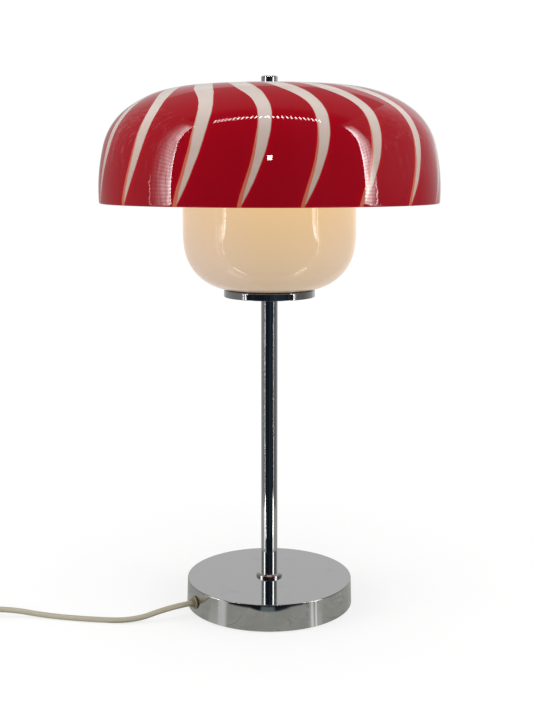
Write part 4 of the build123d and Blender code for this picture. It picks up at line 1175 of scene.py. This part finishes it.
def floor_material():
    """White with a soft shadow for the camera; in mirrors a grey, slightly glossy tent floor with
    painted reflections of lights and painted shade in its creases.
    """
    floor = Finish("pale_floor")
    x, y, _ = floor.axes()
    path = floor.add("ShaderNodeLightPath").outputs
    floor.set(Base_Color=floor.mix(floor.noise(5.0), (0.90, 0.90, 0.90, 1), (0.88, 0.88, 0.88, 1)))
    floor.set(Roughness=0.7, Specular_IOR_Level=0.0)
    seen = floor.add("ShaderNodeEmission", {"Color": (1, 1, 1, 1), "Strength": 1.02})
    far = floor.add("ShaderNodeVectorMath", {0: floor.place}, operation="LENGTH").outputs["Value"]
    whiter = floor.spread(far, 0.10, 0.60, 0.70, 1.0, smooth=True)
    camera_share = whiter * path["Is Camera Ray"]
    to_camera = {"Fac": camera_share, 1: floor.shader.outputs[0], 2: seen.outputs[0]}
    camera_look = floor.add("ShaderNodeMixShader", to_camera).outputs[0]

    centre = {0: floor.place, 1: (disc_centre_x, 0.0, 0.0)}
    from_centre = floor.add("ShaderNodeVectorMath", centre, operation="DISTANCE").outputs["Value"]
    on_disc = floor.math("SUBTRACT", disc_radius, from_centre).math("MINIMUM", y - disc_front)
    lit_part = floor.spread(on_disc.math("MAXIMUM", y - floor_front), -0.0015, 0.0015, 0.0, 1.0)
    cloth = floor.noise(26.0, 3.0, 0.6)
    drawn_out = floor.stretched((1.0, 0.40, 1.0), (0.0, 0.0, 0.5))
    # Painted shade: darker lines in the creases of the floor cloth.
    painted_crease_shading = abs(floor.noise(42.0, 2.0, 0.4, drawn_out) - 0.5)
    painted_crease_shading = floor.spread(painted_crease_shading, 0.0, 0.032, 0.42, 0.0, smooth=True)
    painted_crease_shading = painted_crease_shading * floor.spread(cloth, 0.44, 0.58, 0.0, 1.0, smooth=True)
    cloudy = floor.spread(cloth, 0.3, 0.7, 0.0, 1.0)
    grey = floor.mix(cloudy, (0.33, 0.325, 0.30, 1), (0.40, 0.40, 0.375, 1))
    grey = floor.mix(painted_crease_shading, grey, (0.16, 0.15, 0.19, 1))
    # Painted reflection: a grey patch low in the middle of the dark beyond the tent floor.
    patch = floor.spread(abs(x + 0.004), 0.012, 0.020, 1.0, 0.0, smooth=True)
    patch = patch * floor.spread(y, -0.150, -0.143, 0.0, 1.0, smooth=True)
    beyond = floor.mix(patch, (0.006, 0.010, 0.016, 1), (0.13, 0.165, 0.165, 1))
    grey = floor.mix(lit_part, beyond, grey)
    # Painted reflections: each streak brightens a narrow wedge of the floor.
    for start_x, start_y, slope, width, strength, begins in streaks:
        rise = y - start_y
        off = abs(rise / (x - start_x) - slope)
        share = floor.spread(off, 0.25 * width, width, strength, 0.0, smooth=True)
        share = share * rise.math("LESS_THAN", 0.0)
        if begins:
            share = share * floor.spread(far, begins - 0.004, begins, 0.0, 1.0)
        bright = max(strength, 1.0)
        grey = floor.mix(share.math("MINIMUM", 1.0), grey, (bright, bright, bright, 1))
    mirrored = floor.add("ShaderNodeBsdfPrincipled", {
        "Base Color": (0, 0, 0, 1), "Roughness": 0.2, "Specular IOR Level": 0.1,
        "Emission Color": grey, "Emission Strength": 1.0,
    })
    looks = {"Fac": path["Is Glossy Ray"], 1: camera_look, 2: mirrored.outputs[0]}
    both = floor.add("ShaderNodeMixShader", looks).outputs[0]
    floor.feed(floor.tree.nodes["Material Output"].inputs["Surface"], both)
    return floor.material


h = floor_half
floor = stage_faces("floor", [(-h, -h, 0), (h, -h, 0), (h, h, 0), (-h, h, 0)], floor_material())
print("floor half width:", floor_half)


# %% World
world = bpy.data.worlds.new("studio")
bpy.context.scene.world = world
world.use_nodes = True
world_nodes, world_links = world.node_tree.nodes, world.node_tree.links
background = world_nodes["Background"]
path = world_nodes.new("ShaderNodeLightPath")


def larger(first, second):
    """Larger of two sockets' values."""
    node = world_nodes.new("ShaderNodeMath")
    node.operation = "MAXIMUM"
    world_links.new(first, node.inputs[0])
    world_links.new(second, node.inputs[1])
    return node.outputs[0]


white_share = larger(path.outputs["Is Camera Ray"], path.outputs["Is Transmission Ray"])
white_share = larger(white_share, path.outputs["Is Glossy Ray"])
diffuse_light = 0.55
level = world_nodes.new("ShaderNodeMix")
level.inputs["A"].default_value = diffuse_light
level.inputs["B"].default_value = 1.0
world_links.new(white_share, level.inputs["Factor"])
background.inputs["Color"].default_value = (1.0, 1.0, 1.0, 1.0)
world_links.new(level.outputs["Result"], background.inputs["Strength"])
print("world: diffuse light", diffuse_light)


# %% [markdown]
# ## The tent
#
# Small product studios are cloth tents: three lit walls, a ceiling and an open front framed by
# rows of small lights, with a dark room beyond. Chrome shows all of it. These cards stand for
# the tent in reflections only; the camera, soft light and shadows pass them by. The brightest of
# them reach only mirrors that are near, by the length of the ray.

# %% Reflection cards
def mirror_only(card):
    """Lets only glossy rays see a card."""
    for kind in ("camera", "diffuse", "shadow", "transmission", "volume_scatter"):
        setattr(card, "visible_" + kind, False)
    return card


def glowing(name, strength, colour=(1, 1, 1, 1)):
    """Finish that only shines; the strength may be a function of the finish."""
    finish = Finish(name)
    level = strength(finish) if callable(strength) else strength
    emission = finish.add("ShaderNodeEmission", {"Color": colour, "Strength": level})
    finish.feed(finish.tree.nodes["Material Output"].inputs["Surface"], emission.outputs[0])
    return finish.material


def upright_card(name, start, end, bottom, top, material):
    """Upright card between two floor points."""
    corners = [(*start, bottom), (*end, bottom), (*end, top), (*start, top)]
    return mirror_only(stage_faces(name, corners, material))


# %% Tent walls
wall_x = 0.30
back_y = 0.30
ceiling_z = 0.75
ceiling_front_y = -0.6
opening_y = -0.19
opening_left, opening_right = -0.216, 0.195
opening_top = 0.606
left_lights_y = -0.230
right_lights_y = -0.241
low_left_y, low_right_y = -0.190, -0.172   # the frame stands further back near the floor
low_z, high_z = 0.290, 0.345
back_level, ceiling_level = 0.60, 0.26
left_levels, right_levels = (0.22, 0.36), (0.26, 0.80)     # at the lamp and at the back corner
light_spacing = 0.0102
shade_reach = 0.260        # mirrors further away than this see little of the lights
reach_height, reach_growth = 0.44, 0.47    # above this height the reach grows by so much a metre
finial_view = 0.505        # height at which the finial nut mirrors the side walls
bowl_view = 0.395          # the bowl mirrors the side walls below this, from further than bowl_reach
bowl_reach = 0.292
bowl_share = 0.55


def near_share(finish):
    """1 for mirrors that are near enough, fading to 0 beyond a reach that grows with height.

    Glass seen at a grazing angle is nearly a mirror: from behind, the far shoulder of the shade
    would show the lights as a patch as white as the background."""
    height = finish.axes()[2]
    distance = Number(finish, finish.add("ShaderNodeLightPath").outputs["Ray Length"])
    above = (height - reach_height).math("MAXIMUM", 0.0)
    reach = above * reach_growth + shade_reach
    share = finish.spread(distance - reach, -0.001, 0.003, 1.0, 0.03)
    level_with_nut = abs(height - finial_view)
    share = share.math("MAXIMUM", finish.spread(level_with_nut, 0.006, 0.009, 1.0, 0.0))
    on_bowl = height.math("LESS_THAN", bowl_view) * distance.math("GREATER_THAN", bowl_reach)
    share = share.math("MAXIMUM", on_bowl * bowl_share)
    return share.math("MAXIMUM", height.math("LESS_THAN", high_z))


def wall_level(front, low_front, fade, strength, gamma, levels, seam, seam_strength, low_share):
    """Level of a side wall: bright beside the lights at its front edge, fading over a length.

    A crumpled seam in the cloth catches the light as a second, broken line."""
    def build(finish):
        _, y, z = finish.axes()
        behind = y - finish.spread(z, low_z, high_z, low_front, front)
        glow = finish.spread(behind, 0.0, fade, 1.0, 0.0).math("POWER", gamma)
        folds = finish.noise(90.0, 4.0, 0.6, finish.stretched((1.0, 1.0, 0.12)))
        glow = glow * finish.spread(folds, 0.36, 0.62, 0.35, 1.0)
        rungs = (z * (2 * pi / light_spacing)).math("SINE")
        glow = glow * finish.spread(rungs, -1.0, 1.0, 0.72, 1.12)
        glow = glow * finish.spread(z, low_z, high_z, 0.04, 1.0)
        glow = glow * finish.spread(z, 0.66, 0.72, 1.0, 0.0, smooth=True)
        glow = glow * near_share(finish)
        wander = finish.noise(45.0, 4.0, 0.7) - 0.5
        off_seam = abs(wander * 0.030 + (y - seam))
        line = finish.spread(off_seam, 0.0008, 0.0022, 1.0, 0.0, smooth=True)
        line = line * finish.spread(z, 0.400, 0.425, 1.0, 0.0) * seam_strength
        back = finish.spread(y, 0.0, back_y, *levels) * finish.spread(z, 0.33, 0.42, low_share, 1.0)
        # Painted highlights: lighter lines on the creases of the wall cloth, on its upper part.
        cloth = finish.stretched((1.0, 1.0, 0.22), (0.7, 0.0, 0.0))
        painted_crease_shading = abs(finish.noise(30.0, 3.0, 0.6, cloth) - 0.5)
        painted_crease_shading = finish.spread(painted_crease_shading, 0.0, 0.020, 0.55, 0.0, smooth=True)
        painted_crease_shading = painted_crease_shading * finish.spread(z, 0.40, 0.48, 0.0, 1.0)
        level = glow * strength + (back + painted_crease_shading) + line
        return level * finish.spread(behind, -0.001, 0.001, 0.02, 1.0)
    return build


def back_wall_level(finish):
    """Level of the back wall, from the left corner's to the right corner's."""
    x, _, z = finish.axes()
    left = finish.spread(x, -wall_x, -0.12, left_levels[1] - back_level, 0.0)
    right = finish.spread(x, 0.12, wall_x, 0.0, right_levels[1] - back_level)
    return left + right * finish.spread(z, 0.33, 0.42, 0.0, 1.0) + back_level


def ceiling_shine(finish):
    """Level of the ceiling: dark beside the opening, even further back."""
    return finish.spread(finish.axes()[1], -0.175, -0.085, 0.03, ceiling_level, smooth=True)


def room_level(finish):
    """Level of the dark room: nearly black, with dim upright shapes."""
    shapes = finish.noise(11.0, 2.0, 0.5, finish.stretched((1.0, 1.0, 0.15)))
    return finish.spread(shapes, 0.45, 0.70, 1.0, 4.5)


left_wall = glowing("tent_left", wall_level(
    front=left_lights_y, low_front=low_left_y, fade=0.105, strength=21.0, gamma=2.5,
    levels=left_levels, seam=-0.140, seam_strength=6.0, low_share=1.0))
right_wall = glowing("tent_right", wall_level(
    front=right_lights_y, low_front=low_right_y, fade=0.055, strength=30.0, gamma=1.3,
    levels=right_levels, seam=-0.190, seam_strength=14.0, low_share=0.55))
back_wall = glowing("tent_back", back_wall_level)
upright_card("tent_left", (-wall_x, left_lights_y), (-wall_x, back_y), 0.0, ceiling_z, left_wall)
upright_card("tent_right", (wall_x, right_lights_y), (wall_x, back_y), 0.0, ceiling_z, right_wall)
upright_card("tent_back", (-wall_x, back_y), (wall_x, back_y), 0.0, ceiling_z, back_wall)
ceiling = [
    (-wall_x, ceiling_front_y, ceiling_z),
    (wall_x, ceiling_front_y, ceiling_z),
    (wall_x, back_y, ceiling_z),
    (-wall_x, back_y, ceiling_z),
]
mirror_only(stage_faces("tent_ceiling", ceiling, glowing("tent_ceiling", ceiling_shine)))
dark_room = glowing("dark_room", room_level, (0.009, 0.013, 0.019, 1.0))
front = [
    (-wall_x, left_lights_y),
    (opening_left, opening_y),
    (opening_right, opening_y),
    (wall_x, right_lights_y),
]
for side, start, end in zip(("left", "middle", "right"), front, front[1:]):
    upright_card("dark_room_" + side, start, end, 0.0, opening_top, dark_room)
print("tent: opening", round(opening_right - opening_left, 3), "wide,", opening_top, "high")


# %% Rows of small lights
def row_of_lights(name, start, end, across, spacing, size, strength, lean=0.0, fan=0.0):
    """Small lights in a row: size is their length along the row and along across.

    A light's top is moved along the row by its height times (fan x - lean s), where x is its
    distance from the row's middle in metres and s is the sign of x."""
    start, end, across = np.array(start), np.array(end), np.array(across)
    length = np.linalg.norm(end - start)
    count = int(length / spacing)
    forward = (end - start) / length
    share = (np.arange(count) + 0.5) / count
    centres = start + share[:, None] * (end - start)
    wide, tall = forward * size[0] / 2, across * size[1] / 2
    points = centres[:, None] + np.array([-wide - tall, wide - tall, wide + tall, tall - wide])
    from_middle = share * length - length / 2
    moved = size[1] * (fan * from_middle - lean * np.sign(from_middle))
    points[:, 2:] += moved[:, None, None] * forward
    return mirror_only(stage_faces(name, points, glowing(name, strength)))


def near_lights(strength):
    """Strength of lights that shine only as far as near_share lets them."""
    return lambda finish: near_share(finish) * strength


top_y = opening_y + 0.001
row_of_lights("top_lights", (-0.130, top_y, opening_top), (0.118, top_y, opening_top),
              (0, 0, 1), 0.0092, (0.0030, 0.050), 32.0, lean=0.08, fan=2.7)
low_x, high_x = wall_x - 0.002, wall_x - 0.003
large, small, broad = (0.0046, 0.0050), (0.0034, 0.0034), (0.0050, 0.0050)
left_y, right_y = left_lights_y + 0.003, right_lights_y + 0.004
left_shine, right_shine = near_lights(60.0), near_lights(22.0)
# Upright rows: name, x, y, lowest and highest light, spacing, size, strength.
upright_rows = [
    ("left_lights", -high_x, left_y, high_z, 0.72, light_spacing, large, left_shine),
    ("right_lights", high_x, right_y, high_z, 0.72, light_spacing, large, right_shine),
    ("left_low_lights", -low_x, low_left_y, 0.19, high_z, 0.0059, small, 14.0),
    ("right_low_lights", low_x, low_right_y, 0.02, 0.15, 0.0085, broad, 4.0),
    ("right_mid_lights", low_x, low_right_y, 0.19, high_z, 0.0059, small, 14.0),
]
for name, x, y, lowest, highest, spacing, size, strength in upright_rows:
    row_of_lights(name, (x, y, lowest), (x, y, highest), (0, 1, 0), spacing, size, strength)


def shelves(name, x_from, x_to, y_from, y_to, heights, level):
    """Flat shelves between two x and two y, one at each height."""
    flat = [(x_from, y_from), (x_to, y_from), (x_to, y_to), (x_from, y_to)]
    points = np.empty((len(heights), 4, 3))
    points[..., :2] = flat
    points[..., 2] = heights[:, None]
    return mirror_only(stage_faces(name, points, glowing(name, level)))


shelf_heights = np.arange(0.085, 0.215, 0.0066)
for side, x, y_from, y_to in (("left", -1, -0.140, -0.045), ("right", 1, -0.235, -0.115)):
    shelf = (x * 0.278, x * 0.2995, y_from, y_to)
    shelves(side + "_hooded_lights", *shelf, shelf_heights, 3.0)
    shelves(side + "_hoods", *shelf, shelf_heights + 0.0003, 0.27)
lamp_z, lamp_half = 0.4213, 0.0028
lamp_y = opening_y + 0.005
upright_card("front_lamp", (-lamp_half, lamp_y), (lamp_half, lamp_y),
             lamp_z - lamp_half, lamp_z + lamp_half, glowing("front_lamp", 45.0))

# %% [markdown]
# ## Lamps
#
# Three large soft lamps light the surfaces from above and from both sides. They are weak: the
# world already lights the scene almost evenly.

# %% Soft lamps
def soft_lamp(name, place, target, size, watts):
    """Square area lamp that faces a point."""
    data = bpy.data.lights.new(name, "AREA")
    data.shape = "SQUARE"
    data.size = size
    data.energy = watts
    lamp = bpy.data.objects.new(name, data)
    lamp.location = place
    lamp.rotation_euler = (Vector(target) - Vector(place)).to_track_quat("-Z", "Y").to_euler()
    lamp.visible_glossy = False
    bpy.context.scene.collection.objects.link(lamp)
    return lamp


shade_middle = (0.0, 0.0, 0.38)
soft_lamp("overhead_lamp", (0.0, -0.15, 1.5), shade_middle, size=1.2, watts=7.0)
soft_lamp("left_lamp", (-1.2, -0.35, 0.7), shade_middle, size=0.9, watts=8.5)
soft_lamp("right_lamp", (1.2, -0.35, 0.7), shade_middle, size=0.9, watts=8.5)

# %% [markdown]
# ## Last measures
#
# The box of the construction and the box of what now shows should agree.

# %% Sizes and finish
visual_low, visual_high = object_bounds()
growth = (*(cad_low - visual_low), *(visual_high - cad_high))
print("grown by (mm):", [round(1000 * value, 2) for value in growth])
